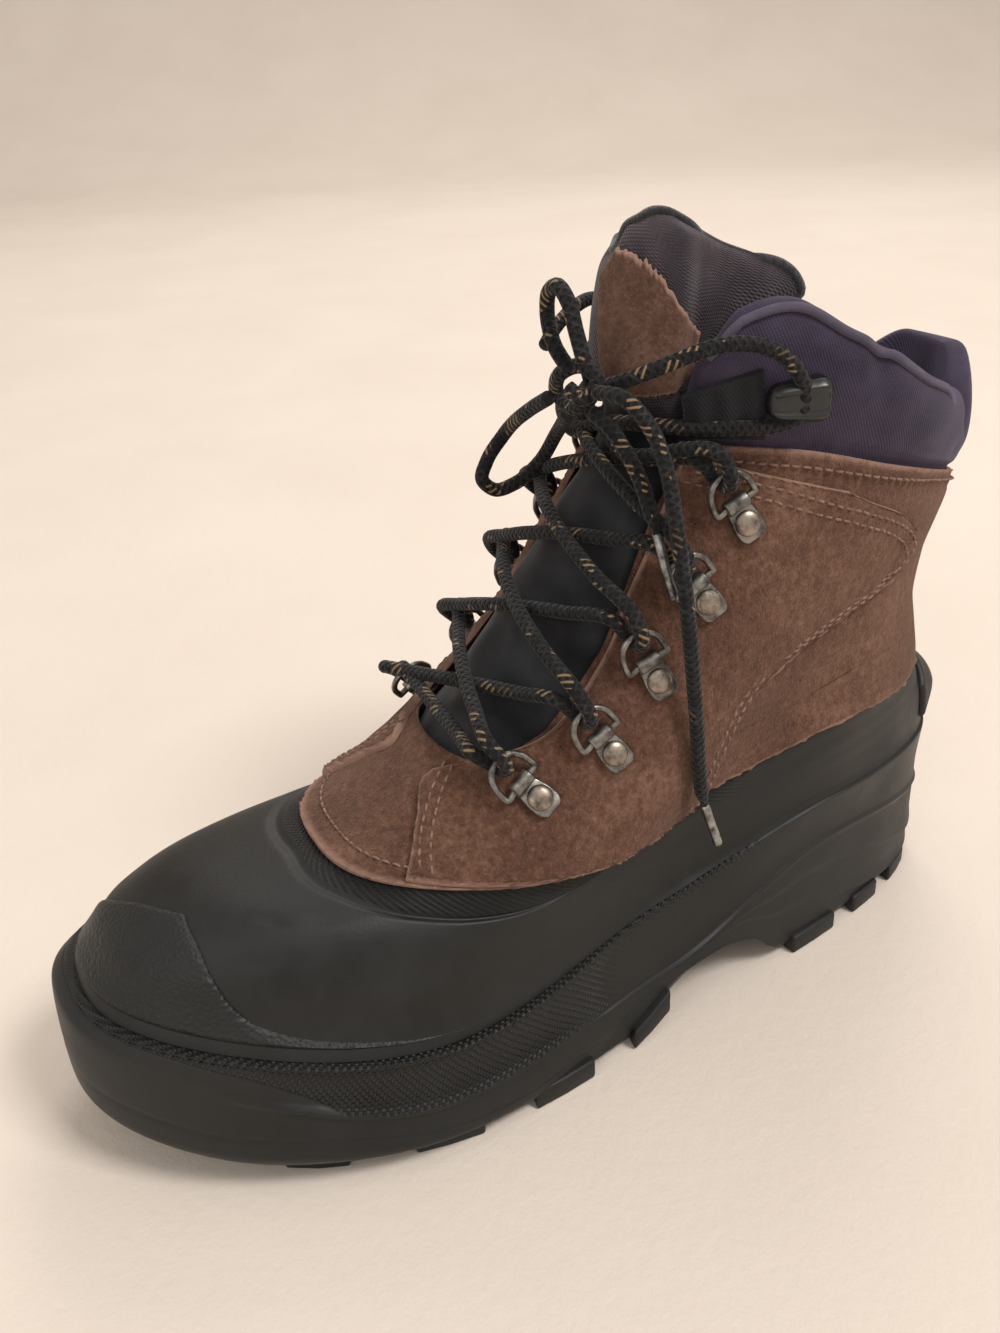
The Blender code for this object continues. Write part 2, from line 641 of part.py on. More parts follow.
def quarter(name, side, finish, collection):
    """Suede overlay of one side, carrying the lacing hardware."""
    table = np.array(QUARTER_ROWS)
    shares = 1.0 - (1.0 - np.linspace(0.0, 1.0, 8)[None, :]) ** 1.6
    turns = table[:, 2:3] + (table[:, 1:2] - table[:, 2:3]) * shares
    rise = np.clip((table[:, 0:1] - 8.6) / 1.14, 0.0, 1.0) ** 2
    levels = table[:, 0:1] + 0.14 * rise * shares ** 1.5
    if side < 0:
        turns = 1.0 - turns
    return patch(name, turns, levels, OVERLAY_IN, OVERLAY_OUT, finish, collection)


# Collar and tongue

COLLAR_SIDE = 16
# Level, and offset outside (+) or inside (-) the last, round the collar's section
COLLAR_SECTION = ((9.86, -0.0004), (10.03, -0.0004), (10.12, 0.0020), (10.40, 0.0038), (10.72, 0.0034),
                  (10.93, 0.0012), (11.00, -0.0024), (10.93, -0.0062), (10.60, -0.0088), (10.15, -0.0086),
                  (9.95, -0.0078), (9.86, -0.0056))
PUFF_SEAMS = (0.085, 0.25)
# Level, and half opening of the collar's front in turns
COLLAR_FRONT_ROWS = ((9.86, 0.070), (10.60, 0.088), (11.00, 0.096))
REAR_PUFF_RISE = 0.013
SIDE_DIP = 0.0042


def collar_lift(turn):
    """Height added to the collar's top: a raised puff at the back, a dip at each side."""
    aside = np.minimum(turn, 1.0 - turn)
    puff = REAR_PUFF_RISE * (1.0 - soft_step(aside, 0.045, 0.085))
    return puff - SIDE_DIP * np.exp(-((aside - 0.300) / 0.035) ** 2)


def collar(finish, collection):
    """Padded collar, a horseshoe of puffs open at the throat."""
    shares = np.linspace(0.0, 1.0, COLLAR_SIDE + 1)
    rows = []
    for level, offset in COLLAR_SECTION:
        front = 0.5 - from_rows(level, COLLAR_FRONT_ROWS)
        turns = np.concatenate([front * shares[::-1], 1.0 - front * shares[1:]])
        aside = np.minimum(turns, 1.0 - turns)
        pinch = sum(np.exp(-((aside - seam) / 0.014) ** 2) for seam in PUFF_SEAMS)
        end = soft_step(front - aside, 0.0, 0.03)
        above = np.clip((level - 10.05) / 0.9, 0.0, 1.0)
        middle = -0.0030
        slim = 1.0 - above * (0.30 * pinch + 0.45 * (1.0 - end))
        places = middle + (offset - middle) * slim
        points = skin(turns, np.full(len(turns), level), places)
        points[:, 2] += above ** 2 * (collar_lift(turns) - 0.004 * pinch - 0.006 * (1.0 - end))
        rows.append(points)
    grid = np.stack(rows)
    count, columns = grid.shape[:2]
    faces = []
    for row in range(count):
        below = row * columns
        over = ((row + 1) % count) * columns
        faces += [(below + c, below + c + 1, over + c + 1, over + c) for c in range(columns - 1)]
    faces.append(tuple(row * columns for row in range(count)))
    faces.append(tuple(row * columns + columns - 1 for row in reversed(range(count))))
    item = add_mesh("collar", grid.reshape(-1, 3), faces, finish, collection)
    triangulate_ends(item, 4)
    make_outward(item)
    return item


def triangulate_ends(item, sides):
    """Split faces with more corners than sides into triangles."""
    shape = bmesh.new()
    shape.from_mesh(item.data)
    bmesh.ops.triangulate(shape, faces=[face for face in shape.faces if len(face.verts) > sides])
    shape.to_mesh(item.data)
    shape.free()


TONGUE_ACROSS = 16
FOLD_WIDTH = 0.018
# Level, half width in turns, depth of its face under the last at the middle and
# sides, and where the side dives under the collar, in turns from the middle
TONGUE_ROWS = ((7.62, 0.040, -0.0042, -0.0042, 0.030), (7.95, 0.072, -0.0020, -0.0008, 0.040),
               (8.40, 0.092, 0.0000, -0.0006, 0.050), (8.90, 0.098, 0.0010, -0.0006, 0.050),
               (9.40, 0.096, 0.0010, -0.0010, 0.046), (9.75, 0.096, 0.0000, -0.0098, 0.048),
               (10.20, 0.105, -0.0010, -0.0106, 0.056), (10.60, 0.130, -0.0020, -0.0106, 0.068),
               (10.95, 0.185, -0.0030, -0.0106, 0.074), (11.25, 0.166, -0.0035, -0.0100, 0.076),
               (11.55, 0.128, -0.0045, -0.0095, 0.076), (11.78, 0.094, -0.0055, -0.0090, 0.074))
# Place across the tongue from its inner side (-1) to its outer side (1), and rise of
# its top edge there as a share of TOP_RISE
TOP_RISE = 0.009
TONGUE_TOP_ROWS = ((-1.0, -0.55), (-0.5, -0.33), (-0.1, 0.10), (0.0, 0.33), (0.15, 0.85), (0.3, 0.92),
                   (0.5, 1.0), (0.6, 0.85), (0.7, 0.58), (0.8, 0.30), (0.9, -0.15), (1.0, -0.85))
PATCH_BOTTOM = 10.50
# Share across the tongue's patch from its inner side, and level of its top edge
PATCH_TOP_ROWS = ((0.0, 11.58), (0.15, 11.63), (0.35, 11.58), (0.60, 11.42), (0.83, 11.15), (1.0, 10.88))


def tongue_rise(aside, level):
    """Height added near the tongue's top edge: a high middle lobe and a low outer wing."""
    return TOP_RISE * from_rows(aside, TONGUE_TOP_ROWS) * soft_step(level, 10.9, 11.7)


def tongue_sheet(aside, level):
    """Turn and depth of the tongue's face; aside runs -1 to 1 across it."""
    half, middle, edge, fold = (from_rows(level, TONGUE_ROWS, column) for column in (1, 2, 3, 4))
    turns = 0.5 - aside * half
    blend = soft_step(np.abs(aside) * half, fold, fold + FOLD_WIDTH)
    return turns, middle + (edge - middle) * blend


def tongue(finish, collection):
    """Wide padded tongue with a two-lobed top."""
    aside = np.linspace(-1.0, 1.0, TONGUE_ACROSS + 1)
    outer, inner = [], []
    for row, values in enumerate(TONGUE_ROWS):
        level = values[0]
        turns, depth = tongue_sheet(aside, np.full(len(aside), level))
        rim = 1.0 - np.abs(aside) ** 6
        top = 1.0 - max(0.0, (level - 11.3) / 0.48) ** 2 * 0.75
        bottom = 0.45 if row == 0 else 1.0
        pad = 0.0026 + (TONGUE_PAD - 0.0026) * rim * top * bottom
        outer.append(skin(turns, np.full(len(aside), level), depth - (TONGUE_PAD * 0.3) * (1.0 - rim * top)))
        inner.append(skin(turns, np.full(len(aside), level), depth - (TONGUE_PAD * 0.3) * (1.0 - rim * top) - pad))
        outer[-1][:, 2] += tongue_rise(aside, level)
        inner[-1][:, 2] += tongue_rise(aside, level)
    quads = grid_quads(len(outer), len(aside), flip=True)
    item = thick_sheet("tongue", np.vstack(outer), np.vstack(inner), quads, finish, collection)
    make_outward(item)
    return item


def tongue_patch(finish, collection):
    """Suede patch on the tongue's face, arched at the top."""
    across = np.linspace(1.0, 0.0, 9)[None, :]
    shares = np.linspace(0.0, 1.0, 7)[:, None]
    levels = PATCH_BOTTOM + (from_rows(across, PATCH_TOP_ROWS) - PATCH_BOTTOM) * shares
    inner_side = 0.012 - 0.016 * shares
    outer_side = 0.084 + 0.012 * shares
    aside = (inner_side + (outer_side - inner_side) * across) / from_rows(levels, TONGUE_ROWS, 1)
    turns, depth = tongue_sheet(aside, levels)
    low = depth + PATCH_CLEARANCE
    return patch("tongue_patch", turns, levels, low, low + OVERLAY_WALL, finish, collection, tongue_rise(aside, levels))


# Lacing hardware

def station_frame(turn, level, toward_turn, toward_level, offset):
    """Matrix at a place on the last: X toward the ring, Z outward."""
    place = skin(np.array([turn]), np.array([level]), np.array([offset]))[0]
    goal = skin(np.array([toward_turn]), np.array([toward_level]), np.array([offset]))[0]
    outward = Vector(last_normal(np.array([turn]), np.array([level]))[0])
    along = Vector(goal - place)
    along = (along - outward * along.dot(outward)).normalized()
    across = outward.cross(along)
    frame = Matrix((along, across, outward)).transposed().to_4x4()
    frame.translation = Vector(place)
    return frame


def turned_plug(name, radius, height, base, finish, collection, frame):
    """Low rivet head with a rounded rim."""
    shape = bmesh.new()
    bmesh.ops.create_cone(shape, cap_ends=True, segments=7, radius1=radius, radius2=radius * 0.72,
                          depth=height, matrix=Matrix.Translation((0.0, 0.0, base + height / 2)))
    mesh = bpy.data.meshes.new(name)
    shape.to_mesh(mesh)
    shape.free()
    item = bpy.data.objects.new(name, mesh)
    item.data.materials.append(finish)
    item.matrix_world = frame
    collection.objects.link(item)
    return item


CLIP_REACH = 0.0068
CURL_RADIUS = RING_WIRE / 2 + GAP + CLIP_WALL / 2


def clip(name, frame, finish, collection):
    """Bent strap under a rivet, curled round the ring's straight bar."""
    middle_line = [(-RIVET_DIAMETER * 0.42, CLIP_WALL / 2), (CLIP_REACH, CLIP_WALL / 2)]
    for step in range(1, 5):
        angle = -pi / 2 + radians(250) * step / 4
        middle_line.append((CLIP_REACH + CURL_RADIUS * cos(angle), CLIP_WALL / 2 + CURL_RADIUS * (1 + sin(angle))))
    line = np.array(middle_line)
    along = np.gradient(line, axis=0)
    side = unit(np.stack([-along[:, 1], along[:, 0]], axis=1)) * CLIP_WALL / 2
    outline = np.vstack([line - side, (line + side)[::-1]])
    count = len(outline)
    points = [(x, -CLIP_WIDTH / 2, z) for x, z in outline] + [(x, CLIP_WIDTH / 2, z) for x, z in outline]
    faces = [(i, (i + 1) % count, (i + 1) % count + count, i + count) for i in range(count)]
    half = count // 2
    for row in range(half - 1):
        near = (row, row + 1, count - 2 - row, count - 1 - row)
        faces.append(tuple(reversed(near)))
        faces.append(tuple(i + count for i in near))
    item = add_mesh(name, points, faces, finish, collection)
    item.matrix_world = frame
    make_outward(item)
    head = turned_plug("rivet", RIVET_DIAMETER / 2, 0.0026, CLIP_WALL * 0.4, finish, collection, frame)
    join_solids(item, [head])
    return item


def ring_tilt(frame):
    """Frame of the ring, turned up a little about its bar."""
    return frame @ Matrix.Translation((CLIP_REACH, 0.0, CLIP_WALL / 2 + CURL_RADIUS)) @ Matrix.Rotation(
        radians(-14), 4, "Y")


def d_ring(name, frame, finish, collection):
    """D-shaped wire ring whose straight bar lies in the clip's curl."""
    half = RING_WIDTH / 2 - RING_WIRE / 2
    route = [(0.0, -half), (0.0, 0.0), (0.0, half)]
    for step in range(1, 7):
        angle = pi / 2 - pi * step / 7
        route.append((0.0018 + (RING_REACH - RING_WIRE / 2 - 0.0018) * cos(angle), half * sin(angle)))
    shape = bpy.data.curves.new(name, "CURVE")
    shape.dimensions = "3D"
    shape.bevel_depth = RING_WIRE / 2
    shape.bevel_resolution = 0
    line = shape.splines.new("POLY")
    line.points.add(len(route) - 1)
    for point, (x, y) in zip(line.points, route):
        point.co = (x, y, 0.0, 1.0)
    line.use_cyclic_u = True
    item = bpy.data.objects.new(name, shape)
    item.data.materials.append(finish)
    item.matrix_world = ring_tilt(frame)
    collection.objects.link(item)
    return item


def lacing_hardware(finish, collection):
    """Clips with rivets and rings, five on each side."""
    tips = {}
    for side, label in ((1, "lateral"), (-1, "medial")):
        for number, (turn, level, ring_turn, ring_level) in enumerate(LACE_STATIONS, start=1):
            if side < 0:
                turn, ring_turn = 1.0 - turn, 1.0 - ring_turn
            frame = station_frame(turn, level, ring_turn, ring_level, OVERLAY_OUT + 0.0006)
            clip(f"clip_{label}_{number}", frame, finish, collection)
            d_ring(f"ring_{label}_{number}", frame, finish, collection)
            tip = ring_tilt(frame) @ Vector((RING_REACH + LACE_DIAMETER / 2 + 0.0004, 0.0, 0.0))
            tips[(side, number)] = np.array(tip)
    return tips


def keeper(label, side, strap_finish, finish, collection):
    """Webbing loop on the collar with a ribbed plastic keeper at its end."""
    turns = np.array([0.425, 0.411, 0.397, 0.382, 0.367])
    levels = np.array([10.17, 10.27, 10.37, 10.47])[:, None]
    turns = np.broadcast_to(turns[None, :], (4, 5))
    if side < 0:
        turns = 1.0 - turns
    patch(f"strap_{label}", turns, levels + 0.0 * turns, 0.0045, 0.0059, strap_finish, collection)
    place = 0.338 if side > 0 else 1.0 - 0.338
    toward = 0.360 if side > 0 else 1.0 - 0.360
    frame = station_frame(place, 10.32, toward, 10.32, 0.0046)
    shape = bmesh.new()
    bmesh.ops.create_cube(shape, size=1.0, matrix=Matrix.Translation((0.0, 0.0, KEEPER_SIZE[2] / 2))
                          @ Matrix.Diagonal((*KEEPER_SIZE, 1.0)))
    mesh = bpy.data.meshes.new(f"keeper_{label}")
    shape.to_mesh(mesh)
    shape.free()
    item = bpy.data.objects.new(f"keeper_{label}", mesh)
    item.data.materials.append(finish)
    item.matrix_world = frame
    collection.objects.link(item)
    rounding = item.modifiers.new("rounding", "BEVEL")
    rounding.width = 0.0014
    rounding.segments = 1
    return item


# Lace

def smooth_route(route, spacing):
    """Evenly spaced points of a smooth curve through a route, both in metres."""
    points = np.array(route, float)
    run = np.concatenate([[0.0], np.cumsum(np.linalg.norm(np.diff(points, axis=0), axis=1))])
    slopes = np.gradient(points, run, axis=0)
    fine = np.linspace(0.0, run[-1], 40 * len(points))
    low = np.clip(np.searchsorted(run, fine, side="right") - 1, 0, len(run) - 2)
    step = (run[low + 1] - run[low])[:, None]
    share = ((fine - run[low])[:, None]) / step
    curve = points[low] * (1 + 2 * share) * (1 - share) ** 2 + slopes[low] * step * share * (1 - share) ** 2
    curve = curve + points[low + 1] * share ** 2 * (3 - 2 * share) + slopes[low + 1] * step * share ** 2 * (share - 1)
    length = np.sum(np.linalg.norm(np.diff(curve, axis=0), axis=1))
    return even_points(curve, max(4, int(length / spacing)))


def cord(name, route, finish, collection, spacing=2.1 * LACE_DIAMETER):
    """Round lace along a smooth curve, its ends filled."""
    shape = bpy.data.curves.new(name, "CURVE")
    shape.dimensions = "3D"
    shape.bevel_depth = LACE_DIAMETER / 2
    shape.bevel_resolution = 2
    shape.use_fill_caps = True
    line = shape.splines.new("POLY")
    points = smooth_route(route, spacing)
    line.points.add(len(points) - 1)
    for point, place in zip(line.points, points):
        point.co = (*place, 1.0)
    item = bpy.data.objects.new(name, shape)
    item.data.materials.append(finish)
    collection.objects.link(item)
    return item


def as_mesh(item):
    """Mesh object that takes a curve object's place."""
    bpy.context.view_layer.update()
    graph = bpy.context.evaluated_depsgraph_get()
    mesh = bpy.data.meshes.new_from_object(item.evaluated_get(graph))
    shape = bmesh.new()
    shape.from_mesh(mesh)
    bmesh.ops.remove_doubles(shape, verts=shape.verts, dist=0.00005)
    shape.to_mesh(mesh)
    shape.free()
    solid = bpy.data.objects.new(item.name + "_solid", mesh)
    solid.matrix_world = item.matrix_world
    item.users_collection[0].objects.link(solid)
    bpy.data.objects.remove(item, do_unlink=True)
    return solid


# Height of a lace run's middle over the last, in lace diameters
LIFT_OVER = 1.72 * LACE_DIAMETER
LIFT_UNDER = 1.12 * LACE_DIAMETER
LIFT_BAR = 1.35 * LACE_DIAMETER


def crossing_route(start, end, lift):
    """Points of a lace run from one ring to another, arched over the tongue."""
    middle = (start + end) / 2
    turn = 0.5
    levels = np.linspace(7.4, 10.9, 141)
    front = last_point(np.full(141, turn), levels)
    level = np.interp(middle[2], front[:, 2], levels)
    outward = last_normal(np.array([turn]), np.array([level]))[0]
    surface = last_point(np.array([turn]), np.array([level]))[0]
    height = float(np.dot(middle - surface, outward))
    crown = middle + outward * (lift - height)
    share = np.array([0.0, 0.25, 0.5, 0.75, 1.0])[:, None]
    straight = start + (end - start) * share
    return straight + (crown - middle) * (1.0 - (2.0 * share - 1.0) ** 2)


def lace_crossings(tips, finish, collection):
    """All lace runs between the rings as one joined solid."""
    runs = []
    for number in range(1, 5):
        for side in (1, -1):
            lift = LIFT_OVER if side > 0 else LIFT_UNDER
            runs.append(crossing_route(tips[(side, number)], tips[(-side, number + 1)], lift))
    runs.append(crossing_route(tips[(1, 1)], tips[(-1, 1)], LIFT_BAR))
    solids = [as_mesh(cord(f"run_{number}", route, finish, collection, 0.020)) for number, route in enumerate(runs)]
    base = solids[0]
    base.name = "lace_crossings"
    base.data.name = "lace_crossings"
    join_solids(base, solids[1:])
    return base


def free_laces(finish, collection):
    """Knot, bow loops and loose ends."""
    for name, route in (("lace_knot", KNOT_ROUTE), ("lace_loop_a", LOOP_A_ROUTE), ("lace_loop_b", LOOP_B_ROUTE),
                        ("lace_end_a", END_A_ROUTE), ("lace_end_b", END_B_ROUTE)):
        cord(name, np.array(route) / 1000.0, finish, collection)


def stand_on_centre(collection):
    """Move the boot so that the middle of its outline stands over the origin."""
    bpy.context.view_layer.update()
    corners = [item.matrix_world @ Vector(corner) for item in collection.objects
               if item.type == "MESH" for corner in item.bound_box]
    middle_x = (min(corner.x for corner in corners) + max(corner.x for corner in corners)) / 2
    middle_y = (min(corner.y for corner in corners) + max(corner.y for corner in corners)) / 2
    shift = Matrix.Translation((-middle_x, -middle_y, 0.0))
    for item in collection.objects:
        item.matrix_world = shift @ item.matrix_world


def build():
    boot, guides = start_scene()
    rubber = material("rubber", RUBBER)
    suede = material("suede", SUEDE)
    nylon = material("nylon", NYLON)
    fleece = material("fleece", FLEECE)
    pewter = material("pewter", PEWTER)
    plastic = material("plastic", PLASTIC)
    lace = material("lace_cloth", LACE_CLOTH)
    sole(rubber, boot)
    insole(fleece, boot)
    shell(rubber, boot)
    toe_cap(rubber, boot)
    heel_tab(rubber, boot)
    upper(suede, boot)
    quarter("quarter_lateral", 1, suede, boot)
    quarter("quarter_medial", -1, suede, boot)
    collar(nylon, boot)
    tongue(nylon, boot)
    tongue_patch(suede, boot)
    tips = lacing_hardware(pewter, boot)
    keeper("lateral", 1, lace, plastic, boot)
    keeper("medial", -1, lace, plastic, boot)
    lace_crossings(tips, lace, boot)
    free_laces(lace, boot)
    stand_on_centre(boot)


build()
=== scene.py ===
from math import cos, pi, radians, sin
import bpy, bmesh
import numpy as np
from mathutils import Matrix, Vector


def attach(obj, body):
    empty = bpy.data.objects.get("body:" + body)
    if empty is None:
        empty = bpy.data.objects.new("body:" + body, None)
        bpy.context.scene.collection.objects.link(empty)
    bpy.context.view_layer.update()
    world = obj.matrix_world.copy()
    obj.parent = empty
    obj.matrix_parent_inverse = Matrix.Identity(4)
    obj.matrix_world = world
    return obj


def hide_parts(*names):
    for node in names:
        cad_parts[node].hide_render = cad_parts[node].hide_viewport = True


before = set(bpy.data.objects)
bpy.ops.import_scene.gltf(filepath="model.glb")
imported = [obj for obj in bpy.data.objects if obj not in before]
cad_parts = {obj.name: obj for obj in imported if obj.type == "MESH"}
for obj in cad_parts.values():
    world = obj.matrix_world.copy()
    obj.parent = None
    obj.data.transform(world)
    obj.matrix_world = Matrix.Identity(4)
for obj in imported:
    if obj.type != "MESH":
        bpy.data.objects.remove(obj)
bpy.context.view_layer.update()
MM = 0.001
SHIFT = np.array([0.00375, 0.00565, 0.0])
rng = np.random.default_rng(7)

# The last, with the sizes and rows of the part's source
SOLE_LENGTH, BALL_WIDTH, WAIST_WIDTH, HEEL_WIDTH = 0.320, 0.118, 0.082, 0.088
LEATHER_HEIGHT, TOE_SWING = 0.190, 0.016
LAST_ROWS = (
    (0.478, -0.456, 0.016, 0.016, 0.092, 0.016, 0.032, 0.466, 0.540, 0.475, 2.4, 2.4, 0.40),
    (0.481, -0.522, 0.084, 0.084, 0.105, 0.053, 0.142, 0.466, 0.525, 0.517, 2.4, 2.6, 0.97),
    (0.480, -0.516, 0.190, 0.242, 0.121, 0.108, 0.274, 0.460, 0.512, 0.504, 2.4, 2.6, 1.03),
    (0.481, -0.500, 0.326, 0.332, 0.250, 0.216, 0.300, 0.506, 0.476, 0.496, 2.4, 2.6, 0.91),
    (0.478, -0.491, 0.342, 0.342, 0.261, 0.229, 0.316, 0.489, 0.451, 0.475, 2.4, 2.5, 0.84),
    (0.475, -0.459, 0.400, 0.390, 0.316, 0.303, 0.390, 0.494, 0.433, 0.453, 2.3, 2.5, 0.69),
    (0.459, -0.388, 0.447, 0.437, 0.371, 0.363, 0.442, 0.500, 0.415, 0.428, 2.3, 2.6, 0.38),
    (0.441, -0.269, 0.490, 0.497, 0.437, 0.418, 0.455, 0.506, 0.409, 0.403, 2.3, 2.8, 0.06),
    (0.428, -0.131, 0.600, 0.600, 0.558, 0.558, 0.590, 0.477, 0.439, 0.373, 2.2, 2.4, 0.03),
    (0.431, -0.025, 0.716, 0.737, 0.737, 0.758, 0.790, 0.449, 0.476, 0.347, 2.1, 2.1, 0.00),
    (0.453, 0.063, 0.842, 0.895, 0.947, 0.995, 1.021, 0.449, 0.512, 0.331, 2.1, 2.0, 0.00),
    (0.469, 0.038, 0.990, 1.032, 1.116, 1.226, 1.126, 0.455, 0.543, 0.339, 2.0, 2.0, 0.00),
    (0.475, 0.044, 1.200, 1.242, 1.305, 1.379, 1.326, 0.455, 0.543, 0.339, 2.0, 2.0, 0.00),
)
HEIGHT_KEYS = (0.0, 0.22, 0.45, 0.70, 1.0)
WIDTH_KEYS = (0.0, 0.2, 0.45, 0.72, 1.0)


def key_slopes(keys, values):
    steps = np.diff(keys).reshape((-1,) + (1,) * (values.ndim - 1))
    rises = np.diff(values, axis=0) / steps
    slopes = np.zeros_like(values)
    before, after = 2 * steps[1:] + steps[:-1], steps[1:] + 2 * steps[:-1]
    same = rises[:-1] * rises[1:] > 0
    low, high = np.where(same, rises[:-1], 1.0), np.where(same, rises[1:], 1.0)
    slopes[1:-1] = np.where(same, (before + after) / (before / low + after / high), 0.0)
    slopes[0], slopes[-1] = rises[0], rises[-1]
    return slopes


def hermite(places, keys, values, slopes):
    keys = np.asarray(keys, float)
    low = np.clip(np.searchsorted(keys, places, side="right") - 1, 0, len(keys) - 2)
    step = keys[low + 1] - keys[low]
    s = (places - keys[low]) / step
    extra = (1,) * (values.ndim - 1)
    s, step = s.reshape(s.shape + extra), step.reshape(step.shape + extra)
    return (values[low] * (1 + 2 * s) * (1 - s) ** 2 + slopes[low] * step * s * (1 - s) ** 2
            + values[low + 1] * s ** 2 * (3 - 2 * s) + slopes[low + 1] * step * s ** 2 * (s - 1))


def steady(places, keys, values):
    values = np.asarray(values, float)
    return hermite(np.asarray(places, float), keys, values, key_slopes(np.asarray(keys, float), values))


def flowing(places, keys, values):
    values = np.asarray(values, float)
    return hermite(np.asarray(places, float), keys, values,
                   np.gradient(values, np.asarray(keys, float), axis=0))


def table(place, rows):
    t = np.array(rows, float)
    return np.interp(place, t[:, 0], t[:, 1])


def soft(value, start, end):
    """Smooth step from 0 at start to 1 at end."""
    s = np.clip((value - start) / (end - start), 0, 1)
    return s * s * (3 - 2 * s)


HALF = 180


def level_loop(row):
    back, front = row[0] * SOLE_LENGTH, row[1] * SOLE_LENGTH
    a = np.linspace(0, 2 * pi, 4 * HALF, endpoint=False)
    c, s = np.cos(a), np.sin(a)
    power = 2 / np.where(c > 0, row[10], row[11])
    y = (back + front) / 2 + (back - front) / 2 * np.sign(c) * np.abs(c) ** power
    t = (back - y) / (back - front)
    ball = row[9] * BALL_WIDTH
    x = flowing(t, WIDTH_KEYS, (row[7] * HEEL_WIDTH, row[7] * HEEL_WIDTH, row[8] * WAIST_WIDTH, ball,
                                ball * 0.98))
    x = x * np.sign(s) * np.abs(s) ** power - row[12] * TOE_SWING * np.clip((t - 0.45) / 0.55, 0, 1) ** 2
    return np.stack([x, y, steady(t, HEIGHT_KEYS, np.array(row[2:7]) * LEATHER_HEIGHT)], axis=1)


def even(points, count):
    run = np.concatenate([[0], np.cumsum(np.linalg.norm(np.diff(points, axis=0), axis=1))])
    places = np.linspace(0, run[-1], count)
    return np.stack([np.interp(places, run, points[:, k]) for k in range(points.shape[1])], axis=1)


def even_loop(row):
    p = level_loop(row)
    m = len(p) // 2
    return np.vstack([even(p[:m + 1], HALF + 1)[:-1], even(np.vstack([p[m:], p[:1]]), HALF + 1)[:-1]])


LOOPS = np.stack([even_loop(row) for row in LAST_ROWS]) + SHIFT
LOOP_SLOPES = key_slopes(np.arange(len(LAST_ROWS), dtype=float), LOOPS)


def S(u, v):
    """Place on the last: u is the turn from the heel round the outer side, v the level."""
    u, v = np.broadcast_arrays(np.asarray(u, float) % 1.0, np.asarray(v, float))
    place = u * 2 * HALF
    near = np.floor(place).astype(int) % (2 * HALF)
    share = (place - np.floor(place))[..., None]
    low = np.clip(np.floor(v).astype(int), 0, len(LAST_ROWS) - 2)
    r = (v - low)[..., None]

    def column(i):
        return (LOOPS[low, i] * (1 + 2 * r) * (1 - r) ** 2 + LOOP_SLOPES[low, i] * r * (1 - r) ** 2
                + LOOPS[low + 1, i] * r ** 2 * (3 - 2 * r) + LOOP_SLOPES[low + 1, i] * r ** 2 * (r - 1))

    return column(near) * (1 - share) + column((near + 1) % (2 * HALF)) * share


def unit(a):
    return a / np.linalg.norm(a, axis=-1, keepdims=True)


def N(u, v):
    """Outward direction of the last."""
    u, v = np.asarray(u, float), np.asarray(v, float)
    return unit(np.cross(S(u, v + 0.06) - S(u, v - 0.06), S(u + 0.005, v) - S(u - 0.005, v)))


def skin(u, v, off):
    u, v, off = np.broadcast_arrays(u, v, off)
    return S(u, v) + N(u, v) * off[..., None]


# Camera at the photo's angle
def camera():
    a, e, roll = radians(62.45), radians(28.3), radians(-3.0)
    back = np.array([sin(a) * cos(e), -cos(a) * cos(e), sin(e)])
    right = np.array([cos(a), sin(a), 0.0])
    up = np.cross(back, right)
    right, up = right * cos(roll) + up * sin(roll), -right * sin(roll) + up * cos(roll)
    place = (back * 395.8 - right * 21.12 + up * 35.35 + np.array([0, 0, 80.0])) * MM + SHIFT
    data = bpy.data.cameras.new("camera")
    data.sensor_fit = "HORIZONTAL"
    data.sensor_width = 36.0
    data.lens = 43.2
    data.clip_start = 0.01
    cam = bpy.data.objects.new("camera", data)
    m = Matrix((right, up, back)).transposed().to_4x4()
    m.translation = Vector(place)
    cam.matrix_world = m
    bpy.context.scene.collection.objects.link(cam)
    bpy.context.scene.camera = cam


camera()

# Materials


